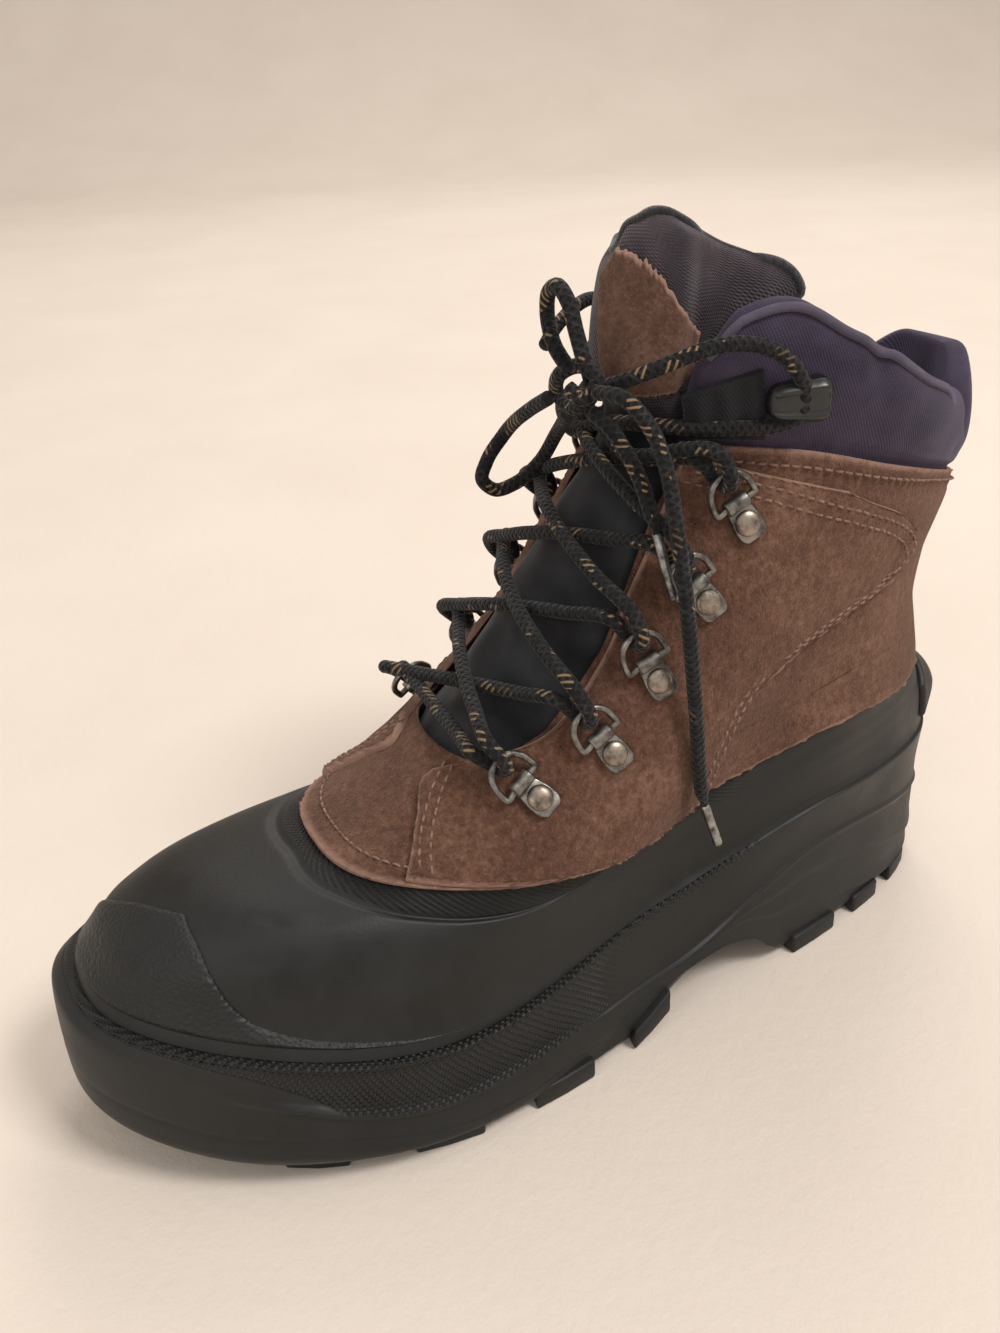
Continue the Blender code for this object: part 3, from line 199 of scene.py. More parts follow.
class Mat:
    """Small helper around a node tree."""

    def __init__(self, name, rough=0.6, metallic=0.0, **sockets):
        self.m = bpy.data.materials.new(name)
        self.m.use_nodes = True
        self.t = self.m.node_tree
        self.s = self.t.nodes["Principled BSDF"]
        self.s.inputs["Roughness"].default_value = rough
        self.s.inputs["Metallic"].default_value = metallic
        for key, value in sockets.items():
            self.s.inputs[key.replace("_", " ")].default_value = value
        self.height = None

    def node(self, kind, **values):
        n = self.t.nodes.new("ShaderNode" + kind)
        for key, value in values.items():
            if hasattr(n, key):
                setattr(n, key, value)
            else:
                n.inputs[key.replace("_", " ")].default_value = value
        return n

    def link(self, a, b):
        self.t.links.new(a, b)

    def coords(self, uv=False):
        if uv:
            return self.node("UVMap", uv_map="UV").outputs["UV"]
        return self.node("TexCoord").outputs["Object"]

    def noise(self, scale, detail=4.0, rough=0.55):
        n = self.node("TexNoise", Scale=scale, Detail=detail, Roughness=rough)
        self.link(self.coords(), n.inputs["Vector"])
        return n.outputs["Fac"]

    def voronoi(self, scale, out="Distance", uv=False, stretch=None, feature="F1"):
        n = self.node("TexVoronoi", feature=feature, Scale=scale)
        source = self.coords(uv)
        if stretch:
            mapping = self.node("Mapping")
            mapping.inputs["Scale"].default_value = stretch
            self.link(source, mapping.inputs["Vector"])
            source = mapping.outputs["Vector"]
        self.link(source, n.inputs["Vector"])
        return n.outputs[out]

    def math(self, op, a, b=0.0):
        n = self.node("Math", operation=op)
        for i, value in enumerate((a, b)):
            if isinstance(value, (int, float)):
                n.inputs[i].default_value = value
            else:
                self.link(value, n.inputs[i])
        return n.outputs[0]

    def ramp(self, fac, *stops):
        n = self.node("ValToRGB")
        while len(n.color_ramp.elements) < len(stops):
            n.color_ramp.elements.new(0.5)
        for el, (place, colour) in zip(n.color_ramp.elements, stops):
            el.position = place
            el.color = (*colour, 1.0)
        self.link(fac, n.inputs["Fac"])
        return n.outputs["Color"]

    def range(self, value, a, b, c, d):
        n = self.node("MapRange", From_Min=a, From_Max=b, To_Min=c, To_Max=d)
        self.link(value, n.inputs["Value"])
        return n.outputs["Result"]

    def mix(self, fac, a, b):
        n = self.node("Mix", data_type="RGBA")
        for i, value in ((0, fac), (6, a), (7, b)):
            if isinstance(value, tuple):
                n.inputs[i].default_value = (*value, 1.0)
            elif isinstance(value, (int, float)):
                n.inputs[i].default_value = value
            else:
                self.link(value, n.inputs[i])
        return n.outputs[2]

    def attribute(self, name):
        return self.node("Attribute", attribute_name=name).outputs["Fac"]

    def uv_axes(self):
        n = self.node("SeparateXYZ")
        self.link(self.coords(True), n.inputs["Vector"])
        return n.outputs["X"], n.outputs["Y"]

    def wave(self, x, y, kx, ky):
        """Sine of a run of stripes in UV, which is in metres."""
        return self.math("SINE", self.math("ADD", self.math("MULTIPLY", x, 2 * pi * kx),
                                           self.math("MULTIPLY", y, 2 * pi * ky)))

    def colour(self, c):
        self.link(c, self.s.inputs["Base Color"])

    def roughness(self, value):
        self.link(value, self.s.inputs["Roughness"])

    def bump(self, height, distance, strength=1.0):
        n = self.node("Bump", Strength=strength, Distance=distance)
        self.link(height, n.inputs["Height"])
        if self.height is not None:
            self.link(self.height, n.inputs["Normal"])
        self.height = n.outputs["Normal"]
        self.link(self.height, self.s.inputs["Normal"])


def rubber_material(name, cells=0.0, tint=(0.0036, 0.0039, 0.0039)):
    m = Mat(name, 0.5)
    m.s.inputs["Specular IOR Level"].default_value = 0.38
    dust = m.noise(38, 6, 0.62)
    fine = m.noise(900, 3, 0.6)
    pale = tuple(c * 1.9 + 0.0055 for c in tint)
    base = m.ramp(dust, (0.36, tint), (0.70, pale))
    speck = m.voronoi(260)
    spots = m.ramp(speck, (0.0, (1, 1, 1)), (0.055, (0, 0, 0)))
    m.colour(m.mix(m.math("MULTIPLY", spots, 0.22), base, (0.10, 0.095, 0.085)))
    m.roughness(m.range(dust, 0.3, 0.75, 0.40, 0.66))
    m.bump(fine, 0.00012, 0.6)
    if cells:
        m.bump(m.voronoi(cells, feature="SMOOTH_F1"), 0.00055, 0.8)
    return m


def bead_material():
    """Rubber whose bead mask raises a fine diamond grid, with a painted highlight on the bead peaks."""
    m = rubber_material("rubber_beads")
    x, y = m.uv_axes()
    grid = m.math("ADD", m.wave(x, y, 440, 440), m.wave(x, y, 440, -440))
    grid = m.range(grid, -0.4, 1.9, 0.0, 1.0)
    beads = m.math("MULTIPLY", grid, m.attribute("mask"))
    m.bump(beads, 0.0011, 1.0)
    # painted highlight: the bead peaks are mixed toward a lighter grey, standing in for light catching the
    # bead tips
    plain = m.s.inputs["Base Color"].links[0].from_socket
    m.colour(m.mix(m.math("MULTIPLY", beads, 0.55), plain, (0.030, 0.030, 0.031)))
    return m


def flange_material():
    m = rubber_material("rubber_shell")
    x, y = m.uv_axes()
    ribs = m.math("ADD", m.wave(x, y, 640, 380), m.wave(x, y, 420, -620))
    ribs = m.range(ribs, -0.6, 1.8, 0.0, 1.0)
    ribs = m.math("MULTIPLY", ribs, m.attribute("mask"))
    m.bump(ribs, 0.0014, 1.0)
    # painted highlight: the rib peaks are mixed toward a lighter grey, standing in for light catching the
    # raised ribs
    plain = m.s.inputs["Base Color"].links[0].from_socket
    m.colour(m.mix(m.math("MULTIPLY", ribs, 0.5), plain, (0.026, 0.027, 0.028)))
    return m


def suede_material(name, dark=(0.040, 0.017, 0.011), mid=(0.098, 0.045, 0.029), pale=(0.200, 0.110, 0.076)):
    m = Mat(name, 0.93, Sheen_Weight=0.22, Sheen_Roughness=0.5)
    m.s.inputs["Sheen Tint"].default_value = (0.9, 0.62, 0.48, 1.0)
    m.s.inputs["Specular IOR Level"].default_value = 0.18
    broad = m.noise(26, 5, 0.62)
    nap = m.noise(420, 6, 0.78)
    grain = m.noise(1100, 3, 0.7)
    blend = m.math("ADD", m.math("MULTIPLY", broad, 0.42), m.math("MULTIPLY", nap, 0.58))
    base = m.ramp(blend, (0.36, dark), (0.50, mid), (0.65, pale))
    flecks = m.ramp(grain, (0.54, (0, 0, 0)), (0.66, (1, 1, 1)))
    base = m.mix(m.math("MULTIPLY", flecks, 0.38), base, pale)
    edge = m.attribute("edge")
    m.colour(m.mix(m.math("MULTIPLY", edge, 0.85), base, (0.34, 0.205, 0.158)))
    m.bump(nap, 0.0011, 0.75)
    m.bump(grain, 0.0006, 0.9)
    return m


def nylon_material(name, dark=(0.016, 0.012, 0.024), pale=(0.052, 0.040, 0.070), rib=980):
    m = Mat(name, 0.82, Sheen_Weight=0.18, Sheen_Roughness=0.4)
    m.s.inputs["Sheen Tint"].default_value = (0.75, 0.68, 0.95, 1.0)
    m.s.inputs["Specular IOR Level"].default_value = 0.25
    x, y = m.uv_axes()
    twill = m.wave(x, y, rib, rib * 0.55)
    cross = m.wave(x, y, rib * 0.4, -rib)
    weave = m.math("ADD", m.math("MULTIPLY", twill, 0.30), m.math("MULTIPLY", cross, 0.10))
    blend = m.math("ADD", m.noise(34, 5, 0.6), m.math("MULTIPLY", weave, 0.22))
    m.colour(m.ramp(blend, (0.30, dark), (0.70, pale)))
    m.bump(m.math("ADD", twill, m.math("MULTIPLY", cross, 0.4)), 0.00010, 0.5)
    m.bump(m.noise(160, 4, 0.6), 0.0004, 0.35)
    return m


def mesh_cloth_material():
    """Tongue cloth: rows of small raised dots on a dark ground."""
    m = Mat("mesh_cloth", 0.85, Sheen_Weight=0.2)
    m.s.inputs["Specular IOR Level"].default_value = 0.25
    x, y = m.uv_axes()
    dots = m.math("ADD", m.wave(x, y, 980, 600), m.wave(x, y, 600, -980))
    dots = m.math("MULTIPLY", dots, m.attribute("mask"))
    lit = m.math("ADD", m.math("MULTIPLY", dots, 0.07), m.noise(40, 5, 0.6))
    mesh = m.ramp(lit, (0.30, (0.017, 0.013, 0.018)), (0.52, (0.038, 0.029, 0.038)),
                  (0.72, (0.085, 0.066, 0.078)))
    black = m.ramp(m.noise(90, 4, 0.6), (0.35, (0.006, 0.006, 0.008)), (0.70, (0.016, 0.016, 0.019)))
    m.colour(m.mix(m.attribute("mask"), black, mesh))
    m.bump(dots, 0.00014, 0.7)
    return m


def fleece_material(name="fleece", dark=(0.012, 0.012, 0.014), pale=(0.040, 0.038, 0.044)):
    m = Mat(name, 0.97, Sheen_Weight=0.4)
    m.s.inputs["Specular IOR Level"].default_value = 0.15
    curl = m.noise(420, 5, 0.75)
    m.colour(m.ramp(curl, (0.35, dark), (0.68, pale)))
    m.bump(curl, 0.0012, 0.9)
    return m


def metal_material(name, dark, pale, rough=0.34):
    m = Mat(name, rough, 1.0)
    wear = m.noise(260, 5, 0.65)
    m.colour(m.ramp(wear, (0.34, dark), (0.62, pale)))
    m.roughness(m.range(wear, 0.3, 0.7, rough + 0.22, rough - 0.06))
    m.bump(m.noise(900, 3, 0.6), 0.00012, 0.5)
    return m


def lace_material():
    """Round braid with tan flecks; UV runs along the cord in metres and round it 0 to 1."""
    m = Mat("lace_braid", 0.78, Sheen_Weight=0.08)
    m.s.inputs["Specular IOR Level"].default_value = 0.25
    x, y = m.uv_axes()
    a = m.wave(x, y, 430, 4.0)
    b = m.wave(x, y, 430, -4.0)
    braid = m.math("MAXIMUM", a, b)
    body = m.ramp(m.math("ADD", m.math("MULTIPLY", braid, 0.25), m.noise(300, 4, 0.6)),
                  (0.42, (0.0020, 0.0020, 0.0024)), (0.70, (0.0065, 0.0065, 0.0068)),
                  (0.95, (0.030, 0.029, 0.027)))
    cell = m.voronoi(1.0, "Color", True, (230.0, 5.0, 1.0))
    pick = m.ramp(cell, (0.78, (0, 0, 0)), (0.80, (1, 1, 1)))
    m.colour(m.mix(m.math("MULTIPLY", pick, m.range(a, 0.2, 0.7, 0.0, 0.9)), body, (0.23, 0.15, 0.080)))
    m.bump(braid, 0.00035, 0.7)
    return m


def plain_material(name, dark, pale, rough, scale=300, metallic=0.0):
    m = Mat(name, rough, metallic)
    n = m.noise(scale, 4, 0.6)
    m.colour(m.ramp(n, (0.35, dark), (0.68, pale)))
    m.bump(n, 0.0002, 0.5)
    return m


RUBBER = rubber_material("rubber_smooth")
CAP_RUBBER = rubber_material("rubber_peel", 900)
BEADS = bead_material()
SHELL_RUBBER = flange_material()
SUEDE = suede_material("suede")
PATCH_SUEDE = suede_material("suede_patch", (0.055, 0.026, 0.019), (0.110, 0.056, 0.040),
                             (0.21, 0.125, 0.094))
NYLON = nylon_material("nylon")
PIPING = nylon_material("piping", (0.050, 0.043, 0.066), (0.120, 0.102, 0.145), 1100)
MESH = mesh_cloth_material()
BLACK_CLOTH = fleece_material("black_cloth", (0.010, 0.010, 0.012), (0.028, 0.027, 0.031))
FLEECE = fleece_material()
PEWTER = metal_material("pewter", (0.060, 0.056, 0.052), (0.27, 0.255, 0.235), 0.36)
RIVET = metal_material("rivet_metal", (0.10, 0.080, 0.062), (0.34, 0.285, 0.235), 0.36)
LACE = lace_material()
PLASTIC = plain_material("plastic", (0.005, 0.0055, 0.0055), (0.012, 0.013, 0.013), 0.34)
WEBBING = nylon_material("webbing", (0.004, 0.004, 0.005), (0.012, 0.012, 0.014), 900)
THREAD = plain_material("thread", (0.12, 0.064, 0.047), (0.27, 0.165, 0.125), 0.85, 600)
AGLET = metal_material("aglet", (0.05, 0.05, 0.05), (0.42, 0.42, 0.41), 0.30)


# Mesh helpers
def raw_mesh(name, points, quads, mat, uv=None, attrs=None):
    """Mesh piece that rides the boot; quads is an (n, 4) array or a list of faces."""
    points = np.ascontiguousarray(points, dtype=np.float32).reshape(-1, 3)
    mesh = bpy.data.meshes.new(name)
    if isinstance(quads, np.ndarray):
        mesh.vertices.add(len(points))
        mesh.vertices.foreach_set("co", points.ravel())
        mesh.loops.add(quads.size)
        mesh.loops.foreach_set("vertex_index", quads.astype(np.int32).ravel())
        mesh.polygons.add(len(quads))
        mesh.polygons.foreach_set("loop_start", np.arange(0, quads.size, quads.shape[1], dtype=np.int32))
        mesh.update(calc_edges=True)
        mesh.validate()
    else:
        mesh.from_pydata(points.tolist(), [], quads)
    if uv is not None:
        layer = mesh.uv_layers.new(name="UV")
        index = np.zeros(len(mesh.loops), np.int32)
        mesh.loops.foreach_get("vertex_index", index)
        layer.data.foreach_set("uv", np.asarray(uv, np.float32).reshape(-1, 2)[index].ravel())
    for key, values in (attrs or {}).items():
        data = mesh.attributes.new(key, "FLOAT", "POINT")
        data.data.foreach_set("value", np.asarray(values, np.float32).ravel())
    item = bpy.data.objects.new(name, mesh)
    item.data.materials.append(mat.m)
    bpy.context.scene.collection.objects.link(item)
    mesh.shade_smooth()
    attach(item, "root")
    return item


def quads_of(rows, cols, closed=False, flip=False):
    r, c = np.meshgrid(np.arange(rows - 1), np.arange(cols if closed else cols - 1), indexing="ij")
    after = (c + 1) % cols
    q = np.stack([r * cols + c, r * cols + after, (r + 1) * cols + after, (r + 1) * cols + c],
                 -1).reshape(-1, 4)
    return q[:, ::-1] if flip else q


def grid_piece(name, grid, mat, closed=False, flip=False, uv=None, attrs=None):
    rows, cols = grid.shape[:2]
    if closed and uv is not None:
        # repeat the first column, so that the texture does not run backwards over the seam
        grid = np.concatenate([grid, grid[:, :1]], axis=1)
        extra = uv[:, :1] + np.array([uv[:, -1:, 0].max() + (uv[0, 1, 0] - uv[0, 0, 0]), 0.0])
        uv = np.concatenate([uv, extra], axis=1)
        attrs = {k: np.concatenate([a, a[:, :1]], axis=1) for k, a in (attrs or {}).items()}
        closed, cols = False, cols + 1
    return raw_mesh(name, grid, quads_of(rows, cols, closed, flip), mat, uv, attrs)


def uv_of(grid):
    """UV in metres from the run of the middle row and the middle column."""
    rows, cols = grid.shape[:2]
    mid = grid[rows // 2]
    across = np.concatenate([[0], np.cumsum(np.linalg.norm(np.diff(mid, axis=0), axis=1))])
    up = np.concatenate([np.zeros((1, cols)),
                         np.cumsum(np.linalg.norm(np.diff(grid, axis=0), axis=2), axis=0)])
    return np.stack([np.broadcast_to(across[None, :], (rows, cols)), up], axis=-1)


def tube(name, path, radius, mat, sides=10, taper=None):
    """Round cord along a fine path, with UV along it in metres and round it 0 to 1."""
    path = np.asarray(path, float)
    tangent = unit(np.gradient(path, axis=0))
    side = np.zeros_like(path)
    start = np.array([0.31, 0.2, 0.93])
    side[0] = unit(start - tangent[0] * start.dot(tangent[0]))
    for i in range(1, len(path)):
        s = side[i - 1] - tangent[i] * side[i - 1].dot(tangent[i])
        side[i] = s / max(np.linalg.norm(s), 1e-9)
    other = np.cross(tangent, side)
    run = np.concatenate([[0], np.cumsum(np.linalg.norm(np.diff(path, axis=0), axis=1))])
    a = np.linspace(0, 2 * pi, sides + 1)
    r = radius * (np.ones(len(path)) if taper is None else taper)
    ring = side[:, None] * np.cos(a)[None, :, None] + other[:, None] * np.sin(a)[None, :, None]
    grid = path[:, None] + ring * r[:, None, None]
    uv = np.stack(np.broadcast_arrays(run[:, None], (a / (2 * pi))[None, :]), -1)
    points, quads, uvs = grid.reshape(-1, 3), quads_of(len(path), sides + 1), uv.reshape(-1, 2)
    n = len(points)
    points = np.vstack([points, path[:1] - tangent[:1] * radius * 0.4,
                        path[-1:] + tangent[-1:] * radius * 0.4])
    uvs = np.vstack([uvs, uvs[:1], uvs[-1:]])
    last = (len(path) - 1) * (sides + 1)
    quads = [tuple(q) for q in quads] + [(n, j + 1, j) for j in range(sides)]
    quads += [(n + 1, last + j, last + j + 1) for j in range(sides)]
    return raw_mesh(name, points, quads, mat, uvs)


def smooth_path(route, spacing):
    """Evenly spaced points of a smooth curve through a route."""
    p = np.array(route, float)
    run = np.concatenate([[0], np.cumsum(np.linalg.norm(np.diff(p, axis=0), axis=1))])
    fine = flowing(np.linspace(0, run[-1], 60 * len(p)), run, p)
    length = np.sum(np.linalg.norm(np.diff(fine, axis=0), axis=1))
    return even(fine, max(4, int(length / spacing)))


def rim_patch(name, turns, levels, base, wall, mat, rim, dome=0.0, relief=None, edge_noise=0.0):
    """Sheet laid on the last with rounded rims; turns and levels are grids."""
    grid = skin(turns, levels, base)
    rows, cols = grid.shape[:2]
    du = np.cumsum(np.concatenate([np.zeros((rows, 1)), np.linalg.norm(np.diff(grid, axis=1), axis=2)], 1), 1)
    dv = np.cumsum(np.concatenate([np.zeros((1, cols)), np.linalg.norm(np.diff(grid, axis=0), axis=2)], 0), 0)
    d = np.minimum(np.minimum(du, du[:, -1:] - du), np.minimum(dv, dv[-1:] - dv))
    s = np.clip(d / rim, 0, 1)
    height = wall * np.sqrt(np.clip(1 - (1 - s) ** 2, 0, 1))
    if dome:
        height = height + dome * soft(d, 0, 0.012)
    if relief is not None:
        height = height + relief * soft(d, 0, 0.003)
    if edge_noise:
        rough = np.random.default_rng(78).normal(0, 1, d.shape)
        rough = (rough + np.roll(rough, 1, 1) + np.roll(rough, 1, 0)) / 3
        height = height + edge_noise * rough * np.exp(-((d - rim) / (rim * 0.8)) ** 2)
    points = grid + N(turns, levels) * height[..., None]
    attrs = {"edge": np.clip(1.4 - d / (rim * 1.2), 0, 1)}
    return grid_piece(name, points, mat, uv=uv_of(grid), attrs=attrs)


def denser_ends(n, power=2.2):
    """0 to 1 with more steps near both ends."""
    t = np.linspace(-1, 1, n)
    return 0.5 + 0.5 * np.sign(t) * (1 - (1 - np.abs(t)) ** power)


def wobble(shape_u, shape_v, seed, amount, fu=7, fv=5, terms=10):
    """Smooth seeded unevenness of a surface."""
    r = np.random.default_rng(seed)
    out = 0
    for _ in range(terms):
        ku, kv = r.integers(1, fu + 1), r.uniform(0.3, fv)
        out = out + np.sin(2 * pi * (ku * shape_u + kv * shape_v * 0.25)
                           + r.uniform(0, 6.28)) * r.uniform(0.3, 1.0)
    return out * amount / terms


# Sole and tread
PLATE_ROWS = ((-0.52, 0.090), (-0.44, 0.046), (-0.34, 0.018), (-0.015, 0.018), (0.030, 0.062), (0.075, 0.095),
              (0.120, 0.100), (0.165, 0.078), (0.205, 0.018), (0.48, 0.018))
SIDE_ROWS = ((0.20, -1.6), (0.30, -0.7), (0.45, 0.0), (0.8, 0.5), (1.2, 0.6), (1.6, 0.3), (1.85, 0.0),
             (1.90, 0.5), (1.94, 1.3), (1.98, 1.6), (2.04, 1.55), (2.09, 0.9), (2.14, 0.0), (2.22, -0.5),
             (2.5, -0.8), (2.76, -0.4), (2.82, 0.4), (2.86, 1.3), (2.91, 1.8), (2.96, 1.7), (3.0, 1.2))


def plate_height(y):
    return steady(y / SOLE_LENGTH, [r[0] for r in PLATE_ROWS], [r[1] for r in PLATE_ROWS]) * LEATHER_HEIGHT


FLOOR_ROWS = ((0.0, 0.150), (0.22, 0.140), (0.45, 0.155), (0.70, 0.100), (0.88, 0.105), (1.0, 0.130))


def inner_floor(y):
    """Height of the sole's inner floor from heel to toe."""
    t = np.array(FLOOR_ROWS)
    return steady((0.481 * SOLE_LENGTH - y) / SOLE_LENGTH, t[:, 0], t[:, 1]) * LEATHER_HEIGHT


def plan_ring(v, off, n):
    """Ring of the last at a level, moved out level with the ground."""
    u = np.arange(n) / n
    out = N(u, np.full(n, float(v)))
    out[:, 2] = 0
    off = np.asarray(off)
    return S(u, np.full(n, float(v))) + unit(out) * (off[:, None] if off.ndim else off)


def side_offset(u, v):
    """How far the sole's side stands out of the last, in metres."""
    w = np.minimum(u, 1 - u)
    base = table(v, SIDE_ROWS) * MM
    toe = soft(w, 0.375, 0.425)
    heel = 1 - soft(w, 0.235, 0.285)
    smooth_low = np.interp(v, [0.2, 0.45, 1.2, 2.2, 2.75, 2.84, 2.91, 2.96, 3.0],
                           np.array([-1.6, 0, 0.8, 1.6, 1.3, 1.0, 1.8, 1.7, 1.2])) * MM
    base = base * (1 - toe) + smooth_low * toe
    smooth_heel = np.interp(v, [0.2, 0.45, 1.2, 1.85, 1.93, 2.0, 2.3, 2.9, 3.0],
                            np.array([-1.4, 0.2, 0.7, 0.9, 1.7, 0.9, 0.5, 0.3, 0.2])) * MM
    base = base * (1 - heel) + smooth_heel * heel
    third = np.interp(w, [0.0, 0.03, 0.075, 0.108, 0.15, 0.21], [0.9, 1.0, 1.42, 1.55, 1.62, 1.80])
    fourth = np.interp(w, [0.0, 0.05, 0.068, 0.123, 0.162, 0.21], [0.30, 0.38, 0.52, 1.20, 1.42, 1.65])
    fade = 1 - soft(w, 0.19, 0.23)
    for line in (third, fourth):
        base = base + 0.7 * MM * fade * (soft(v, line - 0.02, line + 0.05)
                                         - soft(v, line + 0.05, line + 0.45))
    return base


def sole_piece():
    n = 560
    u = np.arange(n) / n
    levels = np.concatenate([np.linspace(0.20, 1.82, 40), np.linspace(1.85, 2.20, 28),
                             np.linspace(2.24, 3.0, 42)])
    rings = np.stack([plan_ring(v, side_offset(u, np.full(n, v)), n) for v in levels])
    low = rings[0, :, 2].copy()
    top = plan_ring(1.86, 0.0, n)[:, 2]
    plate = plate_height(rings[0, :, 1] - SHIFT[1])
    for i, v in enumerate(levels):
        if v < 1.86:
            rings[i, :, 2] = plate + (rings[i, :, 2] - low) / (top - low) * (top - plate)
    # mould lines on the bumper
    U, V = np.meshgrid(u, levels)
    W = np.minimum(U, 1 - U)
    line = np.interp(W, [0.24, 0.30, 0.36, 0.41, 0.5], [1.05, 1.15, 1.45, 1.30, 1.25])
    cut = 0.35 * MM * np.exp(-((V - line) / 0.02) ** 2) * soft(W, 0.24, 0.27)
    seam = np.interp(W, [0.372, 0.393, 0.41, 0.437, 0.5], [2.08, 2.32, 2.50, 2.64, 2.72])
    cut = cut + 0.45 * MM * np.exp(-((V - seam) / 0.02) ** 2) * soft(W, 0.365, 0.38)
    out = N(U, V)
    out[..., 2] = 0
    rings = rings - unit(out) * cut[..., None]
    low_edge = np.where(W > 0.37, seam, 2.02)
    high_edge = np.where(W > 0.37, seam + 0.05, 2.10)
    mask = soft(V, low_edge, high_edge) * (1 - 0.5 * soft(V, 2.97, 3.0))
    mask = mask * np.clip(soft(W, 0.235, 0.28) + soft(V, 2.80, 2.86) * soft(W, 0.15, 0.20), 0, 1)
    mask = mask * (1 - 0.5 * soft(W, 0.45, 0.49))
    inner = plan_ring(3.0, -6.2 * MM, n)
    inner[:, 2] = rings[-1, :, 2]
    floor_z = inner_floor(inner[:, 1] - SHIFT[1])
    wall = plan_ring(2.0, -7.0 * MM, n)
    wall[:, 2] = floor_z
    bottoms = []
    for share in (0.0, 0.15, 0.4, 0.7, 0.985):
        ring = rings[0].copy()
        x0 = np.interp(ring[:, 1], ring[:n // 2 + 1, 1][::-1], ring[:n // 2 + 1, 0][::-1])
        x1 = np.interp(ring[:, 1], ring[n // 2:, 1], ring[n // 2:, 0])
        ring[:, 0] = ring[:, 0] * (1 - share) + (x0 + x1) / 2 * share
        bottoms.append(ring)
    grid = np.concatenate([np.stack(bottoms[::-1]), rings, inner[None], wall[None]])
    extra = np.zeros((len(bottoms), n))
    mask = np.concatenate([extra, mask, np.zeros((2, n))])
    item = grid_piece("sole_body", grid, BEADS, closed=True, flip=True, uv=uv_of(grid), attrs={"mask": mask})
    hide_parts("sole")


LUG_ROWS = ((-0.348, 0.055, 0.17), (-0.228, 0.068, 0.20), (-0.103, 0.072, 0.20), (0.010, 0.050, 0.17),
            (0.252, 0.070, 0.17), (0.345, 0.048, 0.18), (0.420, 0.045, 0.17))
CENTRE_LUG_ROWS = ((-0.385, 0.040, 0.26), (-0.290, 0.050, 0.30), (-0.170, 0.050, 0.34),
                   (-0.045, 0.050, 0.30), (0.232, 0.050, 0.30), (0.310, 0.045, 0.22), (0.400, 0.045, 0.24))


def outline_at(y, side):
    turns = np.linspace(0.0, 0.5, 121) if side > 0 else np.linspace(1.0, 0.5, 121)
    p = S(turns, np.zeros(121)) - SHIFT
    return float(np.interp(-y, -p[:, 1], p[:, 0]))


def ground_height(y):
    return 0.006 * soft(-y / SOLE_LENGTH, 0.34, 0.48) + 0.009 * soft(y, -0.006, 0.016) * (y < 0.05)


def lugs_piece():
    shape = bmesh.new()

    def block(places):
        low = [shape.verts.new(Vector((x, y, float(ground_height(y)))) + Vector(SHIFT)) for x, y in places]
        high = [shape.verts.new(Vector((x, y, float(plate_height(np.array(y))) + 0.004)) + Vector(SHIFT))
                for x, y in places]
        k = len(places)
        shape.faces.new(low)
        shape.faces.new(high[::-1])
        for i in range(k):
            shape.faces.new((low[(i + 1) % k], low[i], high[i], high[(i + 1) % k]))

    for side in (1, -1):
        for middle, length, width in LUG_ROWS:
            y, half, depth = middle * SOLE_LENGTH, length * SOLE_LENGTH / 2, width * BALL_WIDTH
            slant = 0.4 * half if middle < 0.1 else -0.3 * half
            outer = [(outline_at(y + s * half, side) + 0.0016 * side, y + s * half) for s in (-1.0, 0.0, 1.0)]
            inner = [(outline_at(y + s * half, side) - side * depth,
                      y + s * half * 0.8 + slant) for s in (1.0, -1.0)]
            block(outer + inner)
    for middle, length, width in CENTRE_LUG_ROWS:
        y = middle * SOLE_LENGTH
        x = (outline_at(y, 1) + outline_at(y, -1)) / 2
        half, wing = length * SOLE_LENGTH / 2, width * BALL_WIDTH / 2
        bend = half * 0.7
        block([(x - wing, y - half + bend), (x, y - half), (x + wing, y - half + bend),
               (x + wing, y + half + bend * 0.6), (x, y + half), (x - wing, y + half + bend * 0.6)])
    bmesh.ops.recalc_face_normals(shape, faces=shape.faces)
    mesh = bpy.data.meshes.new("tread_lugs")
    shape.to_mesh(mesh)
    shape.free()
    item = bpy.data.objects.new("tread_lugs", mesh)
    item.data.materials.append(RUBBER.m)
    bpy.context.scene.collection.objects.link(item)
    rounding = item.modifiers.new("rounding", "BEVEL")
    rounding.width, rounding.segments = 0.0011, 3
    mesh.shade_smooth()
    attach(item, "root")


# Shell, toe cap and heel tab
FLANGE_LINE = ((0.0, 6.15), (0.12, 6.1), (0.20, 6.15), (0.262, 6.30), (0.308, 6.38), (0.35, 6.42),
               (0.375, 6.46),
               (0.413, 6.58), (0.45, 6.74), (0.488, 6.80), (0.5, 6.82))


